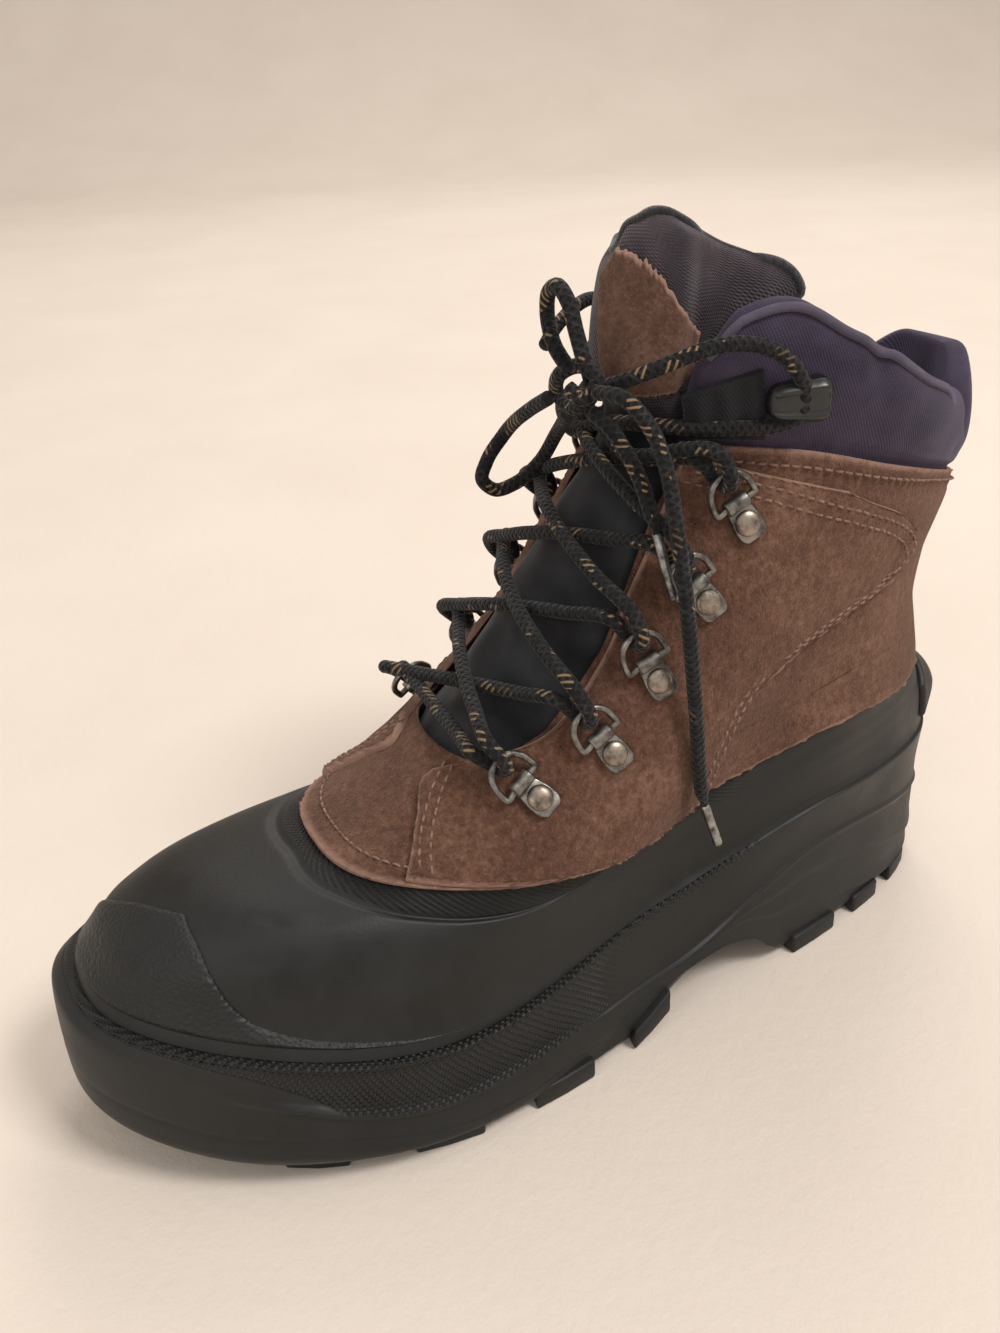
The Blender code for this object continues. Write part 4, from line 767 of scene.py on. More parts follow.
def shell_piece():
    n = 560
    u = np.arange(n) / n
    levels = np.concatenate([[3.0], np.linspace(4.0, 6.0, 44), np.linspace(6.03, 7.3, 60)])
    U, V = np.meshgrid(u, levels)
    W = np.minimum(U, 1 - U)
    line = table(W, FLANGE_LINE)
    strong = soft(W, 0.17, 0.30)
    off = -1.1 * MM * np.exp(-((V - line) / 0.045) ** 2) * strong
    off = off - 0.35 * MM * soft(V, line - 0.02, line + 0.05) * strong
    off = off + wobble(U, V, 3, 0.5 * MM, 9, 6) * soft(V, 4.2, 5.0)
    dimples = ((0.452, 6.15, 0.006, 0.5), (0.437, 6.35, 0.008, 0.35), (0.395, 5.30, 0.010, 0.3),
               (0.43, 5.5, 0.012, 0.35))
    for du, dv, size, depth in dimples:
        off = off - depth * MM * np.exp(-((U - du) / size) ** 2 - ((V - dv) / (size * 14)) ** 2)
    off = off + 1.1 * MM * (1 - soft(V, 4.0, 4.7)) * soft(W, 0.20, 0.32)
    grid = skin(U, V, off)
    foot = plan_ring(3.0, -0.7 * MM, n)
    foot[:, 2] += 0.3 * MM
    grid[0] = foot
    mask = soft(V, line + 0.04, line + 0.12) * soft(W, 0.18, 0.27)
    inner = skin(U[::-1][::6], V[::-1][::6], -2.8 * MM)
    low = plan_ring(3.0, -4.4 * MM, n)
    low[:, 2] += 0.3 * MM
    inner = np.concatenate([inner, low[None]])
    full = np.concatenate([grid, inner])
    mask = np.concatenate([mask, np.zeros(inner.shape[:2])])
    uv = np.concatenate([uv_of(grid), np.zeros(inner.shape[:2] + (2,))])
    item = grid_piece("rubber_shell", full, SHELL_RUBBER, closed=True, flip=True, uv=uv, attrs={"mask": mask})
    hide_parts("shell")


CAP_MIDDLE = 23 / 48
CAP_ROWS = ((0.0, 5.78), (0.020, 5.50), (0.037, 5.10), (0.050, 4.72), (0.065, 4.45), (0.085, 4.32),
            (0.12, 4.24),
            (0.17, 4.12), (0.19, 4.12))


def toe_cap_piece():
    aside = 0.19 * (2 * denser_ends(260, 1.3) - 1)
    t = np.array(CAP_ROWS)
    top = steady(np.abs(aside), t[:, 0], t[:, 1])
    share = denser_ends(70, 1.8)[:, None]
    levels = 3.94 + (top[None, :] - 3.94) * share
    turns = np.broadcast_to(CAP_MIDDLE + aside, levels.shape)
    item = rim_patch("toe_bumper", turns, levels, 0.0, 1.35 * MM, CAP_RUBBER, 3.2 * MM,
                        relief=wobble(turns, levels, 12, 0.3 * MM, 12,
                                      8) + 1.1 * MM * (1 - soft(levels, 4.0, 4.7)))
    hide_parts("toe_cap")


def heel_tab_piece():
    aside = 0.036 * (2 * denser_ends(90, 1.5) - 1)
    share = denser_ends(70, 1.5)[:, None]
    rise = 1 - (aside[None, :] / 0.05) ** 2
    levels = 4.2 + (4.30 + 2.25 * rise - 4.2) * share
    turns = np.broadcast_to(aside, levels.shape)
    item = rim_patch("kick_tab", turns, levels, 0.2 * MM, 1.8 * MM, RUBBER, 1.6 * MM, dome=2.3 * MM)
    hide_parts("heel_tab")


# Suede
THROAT_ROWS = ((7.0, 0.048), (7.9, 0.048), (8.0, 0.060), (8.2, 0.072), (8.75, 0.080),
               (9.0, 0.078), (9.5, 0.066), (10.0, 0.066), (11.0, 0.060), (12.0, 0.055))
QUARTER_ROWS = ((7.05, 0.436, 0.257), (7.25, 0.446, 0.259), (7.50, 0.461, 0.265), (7.75, 0.475, 0.274),
                (7.90, 0.456, 0.277), (8.15, 0.428, 0.280), (8.40, 0.420, 0.273), (8.60, 0.417, 0.252),
                (8.80, 0.416, 0.215), (9.00, 0.420, 0.157), (9.25, 0.424, 0.146), (9.50, 0.430, 0.168),
                (9.65, 0.431, 0.210), (9.74, 0.431, 0.260))
# creases: ends in (u, v), width in turns, depth in millimetres
CREASES = (((0.395, 8.35), (0.330, 7.35), 0.010, 1.0), ((0.375, 8.95), (0.300, 8.25), 0.009, 0.7),
           ((0.345, 9.15), (0.240, 8.60), 0.010, 0.8), ((0.300, 8.05), (0.225, 7.55), 0.009, 0.6),
           ((0.330, 9.50), (0.260, 9.20), 0.009, 0.5), ((0.190, 9.20), (0.150, 8.95), 0.005, 0.9),
           ((0.180, 9.05), (0.140, 8.75), 0.005, 0.7), ((0.110, 9.30), (0.060, 8.60), 0.010, 0.7),
           ((0.090, 8.60), (0.030, 8.10), 0.010, 0.6), ((0.440, 7.75), (0.415, 7.20), 0.008, 0.5),
           ((0.230, 8.30), (0.120, 7.60), 0.012, 0.8), ((0.370, 7.70), (0.330, 7.15), 0.008, 0.6))


def leather_relief(u, v):
    """Creases, puckers and soft unevenness of the suede, in metres."""
    w = np.minimum(u % 1.0, 1 - u % 1.0)
    out = wobble(u, v, 21, 0.9 * MM, 8, 7, 14)
    for (ua, va), (ub, vb), width, depth in CREASES:
        ax, ay, bx, by = ua * 0.7, va * 0.02, ub * 0.7, vb * 0.02
        px, py = w * 0.7, v * 0.02
        dx, dy = bx - ax, by - ay
        t = np.clip(((px - ax) * dx + (py - ay) * dy) / (dx * dx + dy * dy), 0, 1)
        d = np.hypot(px - ax - t * dx, py - ay - t * dy)
        reach = width * 0.7
        out = out - depth * MM * np.exp(-(d / reach) ** 2) * np.sin(pi * np.clip(t, 0.08, 0.92))
        swell = np.exp(-((d - 2.1 * reach) / (reach * 1.2)) ** 2)
        out = out + depth * 0.45 * MM * swell * np.sin(pi * np.clip(t, 0.05, 0.95))
    return out


def throat_half(v):
    return table(v, THROAT_ROWS)


def upper_piece():
    """Suede wall below the overlays, with the throat slit."""
    parts = []
    side_n = 170
    levels = np.concatenate([np.linspace(6.98, 7.9, 44), np.linspace(7.92, 10.0, 88)])
    fray = np.random.default_rng(77)
    edges = 0.5 - throat_half(levels)
    share = np.linspace(0, 1, side_n)
    for side in (1, -1):
        U = edges[:, None] * (share[None, :] if side > 0 else share[None, ::-1])
        U = U if side > 0 else 1 - U
        parts.append(U)
    u_low = 0.5 - throat_half(7.0) + 2 * throat_half(7.0) * np.linspace(0, 1, 60)[1:-1]
    closed_rows = 44
    full_low = np.concatenate([parts[0][:closed_rows], np.broadcast_to(u_low, (closed_rows, len(u_low))),
                               parts[1][:closed_rows]], axis=1)
    V_low = np.broadcast_to(levels[:closed_rows, None], full_low.shape)

    def build(name, U, V):
        top = soft(V, 9.80, 9.86) * 0.3 * MM - soft(V, 9.77, 9.80) * 0.3 * MM
        relief = leather_relief(U, V) * soft(V, 6.98, 7.2) * (1 - 0.6 * soft(V, 9.7, 10.0)) + top
        rough = fray.normal(0, 1, U.shape)
        rough = (rough + np.roll(rough, 1, 1) + np.roll(rough, 1, 0)) / 3
        relief = relief + 0.9 * MM * rough * np.clip((1 - soft(V, 6.98, 7.03)) + soft(V, 9.96, 10.0), 0, 1)
        outer = skin(U, V, 1.9 * MM + relief)
        inner = skin(U, V, 0.5 * MM)
        edge = np.clip(np.maximum(1 - (V - 6.98) / 0.07, 1 - (10.0 - V) / 0.05), 0, 1)
        rolled = np.concatenate([inner[:1], skin(U[:1], V[:1], 1.3 * MM), outer,
                                 skin(U[-1:], V[-1:], 1.4 * MM), inner[-1:]])
        attr = np.concatenate([np.ones((2, U.shape[1])), edge, np.ones((2, U.shape[1]))])
        piece = grid_piece(name, rolled, SUEDE, closed=False, flip=True, uv=uv_of(rolled),
                           attrs={"edge": attr})
        back = grid_piece(name + "_lining", inner[::4], BLACK_CLOTH, uv=uv_of(inner[::4]))
        return piece

    low = build("suede_vamp", full_low, V_low)
    for side, U in zip(("lateral", "medial"), parts):
        V = np.broadcast_to(levels[closed_rows - 1:, None], (len(levels) - closed_rows + 1, side_n))
        build("suede_shaft_" + side, U[closed_rows - 1:], V)
    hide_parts("upper")


def quarter_piece(side):
    label = "lateral" if side > 0 else "medial"
    t = np.array(QUARTER_ROWS)
    v = 7.02 + (9.78 - 7.02) * denser_ends(150, 1.4)
    front, rear = flowing(v, t[:, 0], t[:, 1]), flowing(v, t[:, 0], t[:, 2])
    shares = denser_ends(150, 1.5)[None, :]
    U = rear[:, None] + (front - rear)[:, None] * shares
    rise = np.clip((v[:, None] - 8.6) / 1.14, 0, 1) ** 2
    V = v[:, None] + 0.14 * rise * shares ** 1.5
    if side < 0:
        U = 1 - U
    item = rim_patch("quarter_panel_" + label, U, V, 1.9 * MM, 2.4 * MM, SUEDE, 1.0 * MM, edge_noise=0.7 * MM,
                             relief=leather_relief(U, V) + 0.35 * MM * wobble(U, V, 33, 1.0, 30, 25))
    if side > 0:
        item.data.flip_normals()
    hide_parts("quarter_" + label)


# Stitches
def line_on_skin(line, off, spacing):
    """Evenly spaced places along a line of (turn, level) points, with normals and directions."""
    t = np.array(line, float)
    fine = flowing(np.linspace(0, len(t) - 1, 40 * len(t)), np.arange(len(t), dtype=float), t)
    p = skin(fine[:, 0], fine[:, 1], off)
    both = even(np.concatenate([p, fine], axis=1), 3000)
    run = np.concatenate([[0], np.cumsum(np.linalg.norm(np.diff(both[:, :3], axis=0), axis=1))])
    places = np.arange(spacing / 2, run[-1], spacing)
    at = np.stack([np.interp(places, run, both[:, k]) for k in range(5)], axis=1)
    ahead = np.stack([np.interp(places + 0.0005, run, both[:, k]) for k in range(3)], axis=1)
    return at, N(at[:, 3], at[:, 4]), unit(ahead - at[:, :3] + 1e-9)


def stitches(name, lines, mat, length=0.0026, spacing=0.0034, radius=0.00042, relief=None):
    """Small thread loops along lines of (turn, level, ...) given with their lift over the last."""
    a = np.linspace(0, 2 * pi, 7)[:-1]
    s = np.linspace(-1, 1, 7)
    points, quads = [], []
    for line, off in lines:
        at, n, d = line_on_skin(line, off, spacing)
        p = at[:, :3]
        if relief is not None:
            p = p + n * relief(at[:, 3], at[:, 4])[:, None]
        side = np.cross(n, d)
        for k in range(len(p)):
            turn = rng.normal(0, 0.06)
            dk = unit(d[k] + side[k] * turn)
            rings = (p[k] + dk * s[:, None] * length / 2
                     + n[k] * (0.45 * radius - radius * 1.6 * s[:, None] ** 4))
            ring = side[k][None, :] * np.cos(a)[:, None] + n[k][None, :] * np.sin(a)[:, None]
            size = radius * (1 - 0.35 * s ** 4)
            base = sum(len(x) for x in points)
            points.append((rings[:, None] + ring[None] * size[:, None, None]).reshape(-1, 3))
            quads.append(quads_of(len(s), 6, True) + base)
    item = raw_mesh(name, np.vstack(points), np.vstack(quads), mat)


# Collar
COLLAR_SECTION = ((9.86, -0.0004), (10.03, 0.0002), (10.14, 0.0026), (10.40, 0.0044), (10.72, 0.0038),
                  (10.93, 0.0014), (10.99, -0.0024), (10.93, -0.0062), (10.60, -0.0088), (10.15, -0.0086),
                  (9.95, -0.0078), (9.86, -0.0056))
COLLAR_FRONT_ROWS = ((9.86, 0.070), (10.60, 0.088), (11.00, 0.096))
COLLAR_WRINKLES = ((0.120, 10.30, 0.012, 0.10, 0.9), (0.100, 10.60, 0.010, 0.12, 0.8),
                   (0.200, 10.20, 0.030, 0.05, 0.5), (0.255, 10.75, 0.012, 0.14, 0.6),
                   (0.330, 10.62, 0.030, 0.06, 0.5), (0.050, 10.25, 0.020, 0.05, 0.6))


def collar_lift(aside):
    puff = 0.013 * (1 - soft(aside, 0.028, 0.090))
    side_dip = 0.0042 * np.exp(-((aside - 0.300) / 0.035) ** 2)
    rear_dip = 0.0015 * np.exp(-((aside - 0.205) / 0.03) ** 2)
    return puff - side_dip - rear_dip


def collar_point(turns, levels, places):
    front = 0.5 - table(levels, COLLAR_FRONT_ROWS)
    aside = np.minimum(turns % 1.0, 1 - turns % 1.0)
    pinch = np.exp(-((aside - 0.088) / 0.010) ** 2) + 0.45 * np.exp(-((aside - 0.262) / 0.012) ** 2)
    end = soft(front - aside, 0.0, 0.03)
    above = np.clip((levels - 10.05) / 0.9, 0, 1)
    slim = 1 - above * (0.36 * pinch + 0.45 * (1 - end))
    outer = np.clip((places + 0.003) / 0.006, 0, 1)
    relief = wobble(turns, levels, 41, 0.7 * MM, 14, 9, 12) * outer * soft(levels, 10.0, 10.2)
    for wu, wv, su, sv, depth in COLLAR_WRINKLES:
        relief = relief - depth * MM * outer * np.exp(-((aside - wu) / su) ** 2 - ((levels - wv) / sv) ** 2)
    points = skin(turns, levels, -0.003 + (places + 0.003) * slim + relief)
    points[..., 2] += above ** 2 * (collar_lift(aside) - 0.004 * pinch - 0.006 * (1 - end))
    return points


def collar_piece():
    cols, rows = 420, 84
    t = np.array(COLLAR_SECTION * 3)
    k = np.arange(len(t), dtype=float)
    m = len(COLLAR_SECTION)
    section = flowing(np.linspace(m, 2 * m, rows, endpoint=False), k, t)
    shares = np.linspace(0, 1, cols // 2)
    front = 0.5 - table(section[:, 0], COLLAR_FRONT_ROWS)[:, None]
    turns = np.concatenate([front * shares[None, ::-1], 1 - front * shares[None, 1:]], axis=1)
    levels = np.broadcast_to(section[:, :1], turns.shape)
    places = np.broadcast_to(section[:, 1:], turns.shape)
    grid = collar_point(turns, levels, places)
    caps = []
    for column, out in ((grid[:, 0], 1), (grid[:, -1], -1)):
        middle = column.mean(axis=0)
        push = unit(grid[:, 0 if out > 0 else -1].mean(0) - grid[:, 6 if out > 0 else -7].mean(0))
        caps.append([middle + (column - middle) * f + push * r * MM for f,
                     r in ((0.93, 1.0), (0.7, 2.2), (0.35, 2.8), (0.02, 2.9))])
    grid = np.concatenate([np.stack(caps[0][::-1], 1), grid, np.stack(caps[1], 1)], axis=1)
    grid = np.concatenate([grid, grid[:1]], axis=0)
    item = grid_piece("padded_collar", grid, NYLON, uv=uv_of(grid))
    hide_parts("collar")
    for name, ends in (("lateral", (0.402, 0.118)), ("medial", (0.598, 0.882))):
        u = np.linspace(*ends, 260)
        v = 10.93 + 0.02 * np.sin(np.linspace(0, pi, 260)) - 0.30 * soft(np.abs(u - 0.5), 0.34, 0.39)
        path = collar_point(u, v, np.full(260, 1.0 * MM))
        path = path + N(u, v) * (0.9 * MM)
        cord_piece = tube("collar_piping_" + name, path, 1.35 * MM, PIPING, 10)


# Tongue and its patch
FOLD_WIDTH, TONGUE_PAD = 0.018, 0.008
TONGUE_ROWS = ((7.62, 0.040, -0.0042, -0.0042, 0.030), (7.95, 0.072, -0.0020, -0.0008, 0.040),
               (8.40, 0.092, 0.0000, -0.0006, 0.050), (8.90, 0.098, 0.0010, -0.0006, 0.050),
               (9.40, 0.096, 0.0010, -0.0010, 0.046), (9.75, 0.096, 0.0000, -0.0098, 0.048),
               (10.20, 0.105, -0.0010, -0.0106, 0.056), (10.60, 0.130, -0.0020, -0.0106, 0.068),
               (10.95, 0.185, -0.0030, -0.0106, 0.074), (11.25, 0.166, -0.0035, -0.0100, 0.076),
               (11.55, 0.128, -0.0045, -0.0095, 0.076), (11.78, 0.094, -0.0055, -0.0090, 0.074))


def tongue_sheet(aside, level):
    half, middle, edge, fold = (steady(level, [r[0] for r in TONGUE_ROWS],
                                       [r[c] for r in TONGUE_ROWS]) for c in (1, 2, 3, 4))
    blend = soft(np.abs(aside) * half, fold, fold + FOLD_WIDTH)
    return 0.5 - aside * half, middle + (edge - middle) * blend


TONGUE_TOP_ROWS = ((-1.0, -0.55), (-0.5, -0.33), (-0.1, 0.10), (0.0, 0.33), (0.15, 0.85), (0.3, 0.92),
                   (0.5, 1.0),
                   (0.6, 0.85), (0.7, 0.58), (0.8, 0.30), (0.9, -0.15), (1.0, -0.85))


def tongue_rise(aside, level):
    t = np.array(TONGUE_TOP_ROWS)
    return 0.009 * flowing(np.clip(aside, -1, 1), t[:, 0], t[:, 1]) * soft(level, 10.9, 11.7)


def tongue_face(aside, level, lift=0.0):
    turns, depth = tongue_sheet(aside, level)
    top = soft(level, 10.5, 11.4)
    valley = 2.4 * MM * np.exp(-((aside - 0.80 - 0.25 * (11.6 - level)) / 0.07) ** 2) * top
    bars = 1.6 * MM * (0.5 + 0.5 * np.cos((level - 7.9) * 2 * pi / 0.5)) * soft(level, 7.9, 8.2)
    bars = bars * (1 - soft(level, 9.6, 9.9))
    bars = bars * np.exp(-(aside / 0.55) ** 4)
    relief = wobble(aside * 0.3 + 0.5, level, 51, 0.9 * MM, 9, 6) + bars - valley
    points = skin(turns, level, depth + relief * (1 - np.abs(aside) ** 4) + lift)
    points[..., 2] += tongue_rise(aside, level)
    return points


def tongue_piece():
    aside = np.sin(np.linspace(-pi / 2, pi / 2, 130))[None, :]
    levels = 7.62 + (11.78 - 7.62) * denser_ends(150, 1.15)[:, None]
    A, L = np.broadcast_arrays(aside, levels)
    rim = 1 - np.abs(A) ** 8
    top = 1 - np.clip((L - 11.45) / 0.33, 0, 1) ** 4
    bottom = 0.4 + 0.6 * soft(L, 7.62, 7.9)
    outer = tongue_face(A, L) - N(*tongue_turns(A, L)) * (TONGUE_PAD * 0.45 * (1 - rim * top))[..., None]
    pad = 0.0006 + TONGUE_PAD * np.sqrt(np.clip(rim * top, 0, 1)) * bottom * 0.92
    inner = outer - N(*tongue_turns(A, L)) * pad[..., None]
    grid = np.concatenate([outer, inner[::-1]], axis=0)
    uv = np.concatenate([uv_of(outer), uv_of(inner)[::-1]])
    grid = np.concatenate([grid, grid[:1]], axis=0)
    uv = np.concatenate([uv, uv[:1]])
    mask = soft(L + 0.25 * np.abs(A), 10.15, 10.45)
    mask = np.concatenate([mask, mask[::-1], mask[:1]])
    item = grid_piece("tongue_pad", grid, MESH, uv=uv, attrs={"mask": mask})
    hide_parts("tongue")
    edge_a = np.concatenate([np.full(120, -0.985), np.sin(np.linspace(-1.4, 1.4, 200)), np.full(120, 0.985)])
    edge_l = np.concatenate([np.linspace(10.3, 11.70, 120), np.full(200, 11.775),
                             np.linspace(11.70, 10.3, 120)])
    path = tongue_face(edge_a, edge_l, -3.6 * MM)
    path = smooth_path(path[::12], 0.0012)
    band = tube("tongue_binding", path, 1.5 * MM, BLACK_CLOTH, 8, taper=None)


def tongue_turns(aside, level):
    return tongue_sheet(aside, level)[0], level


PATCH_BOTTOM = 10.50
PATCH_TOP_ROWS = ((0.0, 11.58), (0.15, 11.63), (0.35, 11.58), (0.60, 11.42), (0.83, 11.15), (1.0, 10.88))


def patch_piece():
    across = 1 - denser_ends(120, 1.4)[None, :]
    share = denser_ends(120, 1.4)[:, None]
    t = np.array(PATCH_TOP_ROWS)
    arch = steady(across, t[:, 0], t[:, 1])
    fray = 0.010 * wobble(across * 2, across * 3, 61, 4.0, 9, 9)
    levels = PATCH_BOTTOM + fray + (arch - PATCH_BOTTOM) * share
    inner_side = 0.012 - 0.016 * share
    cols = inner_side + (0.084 + 0.012 * share - inner_side) * across
    half = steady(levels, [r[0] for r in TONGUE_ROWS], [r[1] for r in TONGUE_ROWS])
    aside = cols / half
    low = tongue_face(aside, levels, 0.3 * MM)
    rows, count = levels.shape
    du = np.cumsum(np.concatenate([np.zeros((rows, 1)), np.linalg.norm(np.diff(low, axis=1), axis=2)], 1), 1)
    dv = np.cumsum(np.concatenate([np.zeros((1, count)), np.linalg.norm(np.diff(low, axis=0), axis=2)], 0), 0)
    d = np.minimum(np.minimum(du, du[:, -1:] - du), np.minimum(dv, dv[-1:] - dv))
    height = 1.7 * MM * np.sqrt(np.clip(1 - (1 - np.clip(d / MM, 0, 1)) ** 2, 0, 1))
    height = height + 0.35 * MM * wobble(levels * 0.3, cols * 6, 71, 1.0, 12, 12)
    points = low + N(*tongue_turns(aside, levels)) * height[..., None]
    item = grid_piece("suede_patch", points, PATCH_SUEDE, uv=uv_of(points),
                      attrs={"edge": np.clip(1 - d / (1.6 * MM), 0, 1)})
    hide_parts("tongue_patch")


# Clips, rivets, rings and keepers
LACE_STATIONS = ((0.405, 7.75, 0.427, 7.86), (0.378, 8.10, 0.400, 8.26), (0.372, 8.60, 0.392, 8.76),
                 (0.362, 9.10, 0.380, 9.20), (0.363, 9.55, 0.384, 9.68))
RING_WIRE, RING_WIDTH, RING_REACH, CLIP_REACH, CURL = 0.0020, 0.0150, 0.0105, 0.0068, 0.0018
OVERLAY_OUT = 0.0044


def station_frame(turn, level, toward_turn, toward_level, offset):
    one = lambda x: np.array([x])
    place = skin(one(turn), one(level), one(offset))[0]
    goal = skin(one(toward_turn), one(toward_level), one(offset))[0]
    outward = N(one(turn), one(level))[0]
    along = unit(goal - place - outward * (goal - place).dot(outward))
    across = np.cross(outward, along)
    return np.stack([along, across, outward], 1), place


def ring_frame(side, number):
    turn, level, ring_turn, ring_level = LACE_STATIONS[number - 1]
    if side < 0:
        turn, ring_turn = 1 - turn, 1 - ring_turn
    axes, place = station_frame(turn, level, ring_turn, ring_level, OVERLAY_OUT + 0.0006)
    tilt = radians(-14)
    turned = axes @ np.array([[cos(tilt), 0, sin(tilt)], [0, 1, 0], [-sin(tilt), 0, cos(tilt)]])
    bar = place + axes @ np.array([CLIP_REACH, 0, 0.0005 + CURL])
    return axes, place, turned, bar


def merge(parts):
    points, quads, base = [], [], 0
    for p, q in parts:
        points.append(p.reshape(-1, 3))
        quads += [tuple(int(i) + base for i in f) for f in q]
        base += len(points[-1])
    return np.vstack(points), quads


def tube_arrays(path, radius, sides=10, closed=False):
    path = np.asarray(path, float)
    tangent = unit(np.roll(path, -1, 0) - np.roll(path, 1, 0) if closed else np.gradient(path, axis=0))
    side = np.cross(tangent, np.array([0, 0, 1.0]))
    side = unit(side + 1e-9)
    other = np.cross(tangent, side)
    a = np.linspace(0, 2 * pi, sides, endpoint=False)
    grid = path[:, None] + radius * (side[:, None] * np.cos(a)[None, :, None]
                                     + other[:, None] * np.sin(a)[None, :, None])
    if closed:
        grid = np.concatenate([grid, grid[:1]])
    return grid, quads_of(len(grid), sides, True)


def turned(profile, sides=40):
    """Solid of revolution about Z from (radius, height) pairs."""
    a = np.linspace(0, 2 * pi, sides, endpoint=False)
    r, z = np.array(profile, float).T
    grid = np.stack([r[:, None] * np.cos(a), r[:, None] * np.sin(a),
                     np.broadcast_to(z[:, None], (len(r), sides))], -1)
    return grid, quads_of(len(r), sides, True)


def hardware():
    for side, label in ((1, "lateral"), (-1, "medial")):
        clips, rivets, rings = [], [], []
        for number in range(1, 6):
            axes, place, tilted, bar = ring_frame(side, number)
            lift = leather_relief(np.array([LACE_STATIONS[number - 1][0]]),
                                  np.array([LACE_STATIONS[number - 1][1]]))[0] * 0.3
            place = place + axes[:, 2] * lift
            # clip: a bent plate, wide at the rivet and curled over the bar
            run = [(-0.0050, 0.0009, 0.0024), (-0.0047, 0.0010, 0.0034), (-0.0030, 0.0010, 0.0043),
                   (0.0, 0.0010, 0.0044),
                   (0.0030, 0.0010, 0.0040), (0.0050, 0.0009, 0.0036), (CLIP_REACH, 0.0006, 0.0036)]
            for step in range(1, 9):
                angle = -pi / 2 + radians(265) * step / 8
                run.append((CLIP_REACH + CURL * cos(angle), 0.0005 + CURL * (1 + sin(angle)), 0.0036))
            run = np.array(run)
            run = flowing(np.linspace(0, len(run) - 1, 60), np.arange(len(run), dtype=float), run)
            along = unit(np.gradient(run[:, :2], axis=0))
            up = np.stack([-along[:, 1], along[:, 0]], 1)
            loop = []
            for w, t in ((-1, -0.35), (-0.97, 0.35), (-0.85, 0.5), (0.85, 0.5), (0.97, 0.35), (1, -0.35),
                         (0.85, -0.5), (-0.85, -0.5)):
                p = run[:, :2] + up * t * 0.0011
                loop.append(np.stack([p[:, 0], w * run[:, 2], p[:, 1]], 1))
            grid = np.stack(loop, 1) @ axes.T + place
            quads = [tuple(q) for q in quads_of(len(run), 8, True)]
            quads += [tuple(range(8))[::-1], tuple(range((len(run) - 1) * 8, len(run) * 8))]
            clips.append((grid, quads))
            grid, quads = turned(((0.0001, 0.0029), (0.0012, 0.00288), (0.0026, 0.0026), (0.0034, 0.0022),
                                  (0.0038, 0.0017),
                                  (0.0039, 0.0013), (0.0041, 0.0012), (0.0042, 0.0009), (0.0042, 0.0004)))
            rivets.append((grid @ axes.T + place, [tuple(q[::-1]) for q in quads]))
            half = RING_WIDTH / 2 - RING_WIRE / 2
            route = [(0, -half), (0, -half / 2), (0, 0), (0, half / 2), (0, half)]
            reach = RING_REACH - RING_WIRE / 2
            for step in range(1, 12):
                angle = pi / 2 - pi * step / 12
                route.append((0.0016 + (reach - 0.0016) * cos(angle) ** 0.85,
                              half * np.sign(sin(angle)) * abs(sin(angle)) ** 0.9))
            route = np.array(route + route[:1])
            fine = flowing(np.linspace(0, len(route) - 1, 140, endpoint=False),
                           np.arange(len(route), dtype=float), route)
            path = np.stack([fine[:, 0], fine[:, 1], 0 * fine[:, 0]], 1)
            grid, quads = tube_arrays(path, RING_WIRE / 2, 12, True)
            rings.append((grid @ tilted.T + bar, [tuple(q) for q in quads]))
        for kind, parts, mat, node in (("clips_", clips, PEWTER, "clip_"), ("rivets_", rivets, RIVET, None),
                                       ("rings_", rings, PEWTER, "ring_")):
            item = raw_mesh(kind + label, *merge(parts), mat)
            if node:
                for number in range(1, 6):
                    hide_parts(f"{node}{label}_{number}")


def keepers():
    for side, label in ((1, "lateral"), (-1, "medial")):
        turns = np.broadcast_to(np.linspace(0.427, 0.366, 90)[None, :], (60, 90))
        levels = np.broadcast_to(np.linspace(10.08, 10.58, 60)[:, None], (60, 90))
        if side < 0:
            turns = 1 - turns
        pad = 0.5 * MM * np.cos((turns - 0.5) * 2 * pi / 0.021)
        item = rim_patch("webbing_" + label, turns, levels, 4.6 * MM, 1.5 * MM, WEBBING, 0.9 * MM, relief=pad)
        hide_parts("strap_" + label)
        place, toward = (0.343, 0.365) if side > 0 else (0.657, 0.635)
        axes, origin = station_frame(place, 10.37, toward, 10.37, 0.0046)
        # the keeper: a wedge, thick and blunt at its mouth, with ribs along its top
        s = np.linspace(-1, 1, 61)
        loop_a = np.linspace(0, 2 * pi, 72, endpoint=False)
        rings = []
        for x in s:
            size = (1 - abs(x) ** 7) ** 0.4 if abs(x) < 1 else 0.02
            width = (0.0056 - 0.0010 * x) * max(size, 0.02)
            height = (0.0034 - 0.0006 * x) * max(size, 0.02)
            c, d = np.cos(loop_a), np.sin(loop_a)
            y = width * np.sign(c) * np.abs(c) ** 0.45
            z = 0.0034 + height * np.sign(d) * np.abs(d) ** 0.45
            rib = 0.00045 * np.cos(y / width * 3 * pi) * (d > 0.3) * (abs(x) < 0.86)
            rings.append(np.stack([np.full(72, x * 0.0088), y, z + rib], 1))
        grid = np.stack(rings) @ axes.T + origin
        item = grid_piece("ribbed_keeper_" + label, grid, PLASTIC, closed=True, flip=False)
        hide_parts("keeper_" + label)


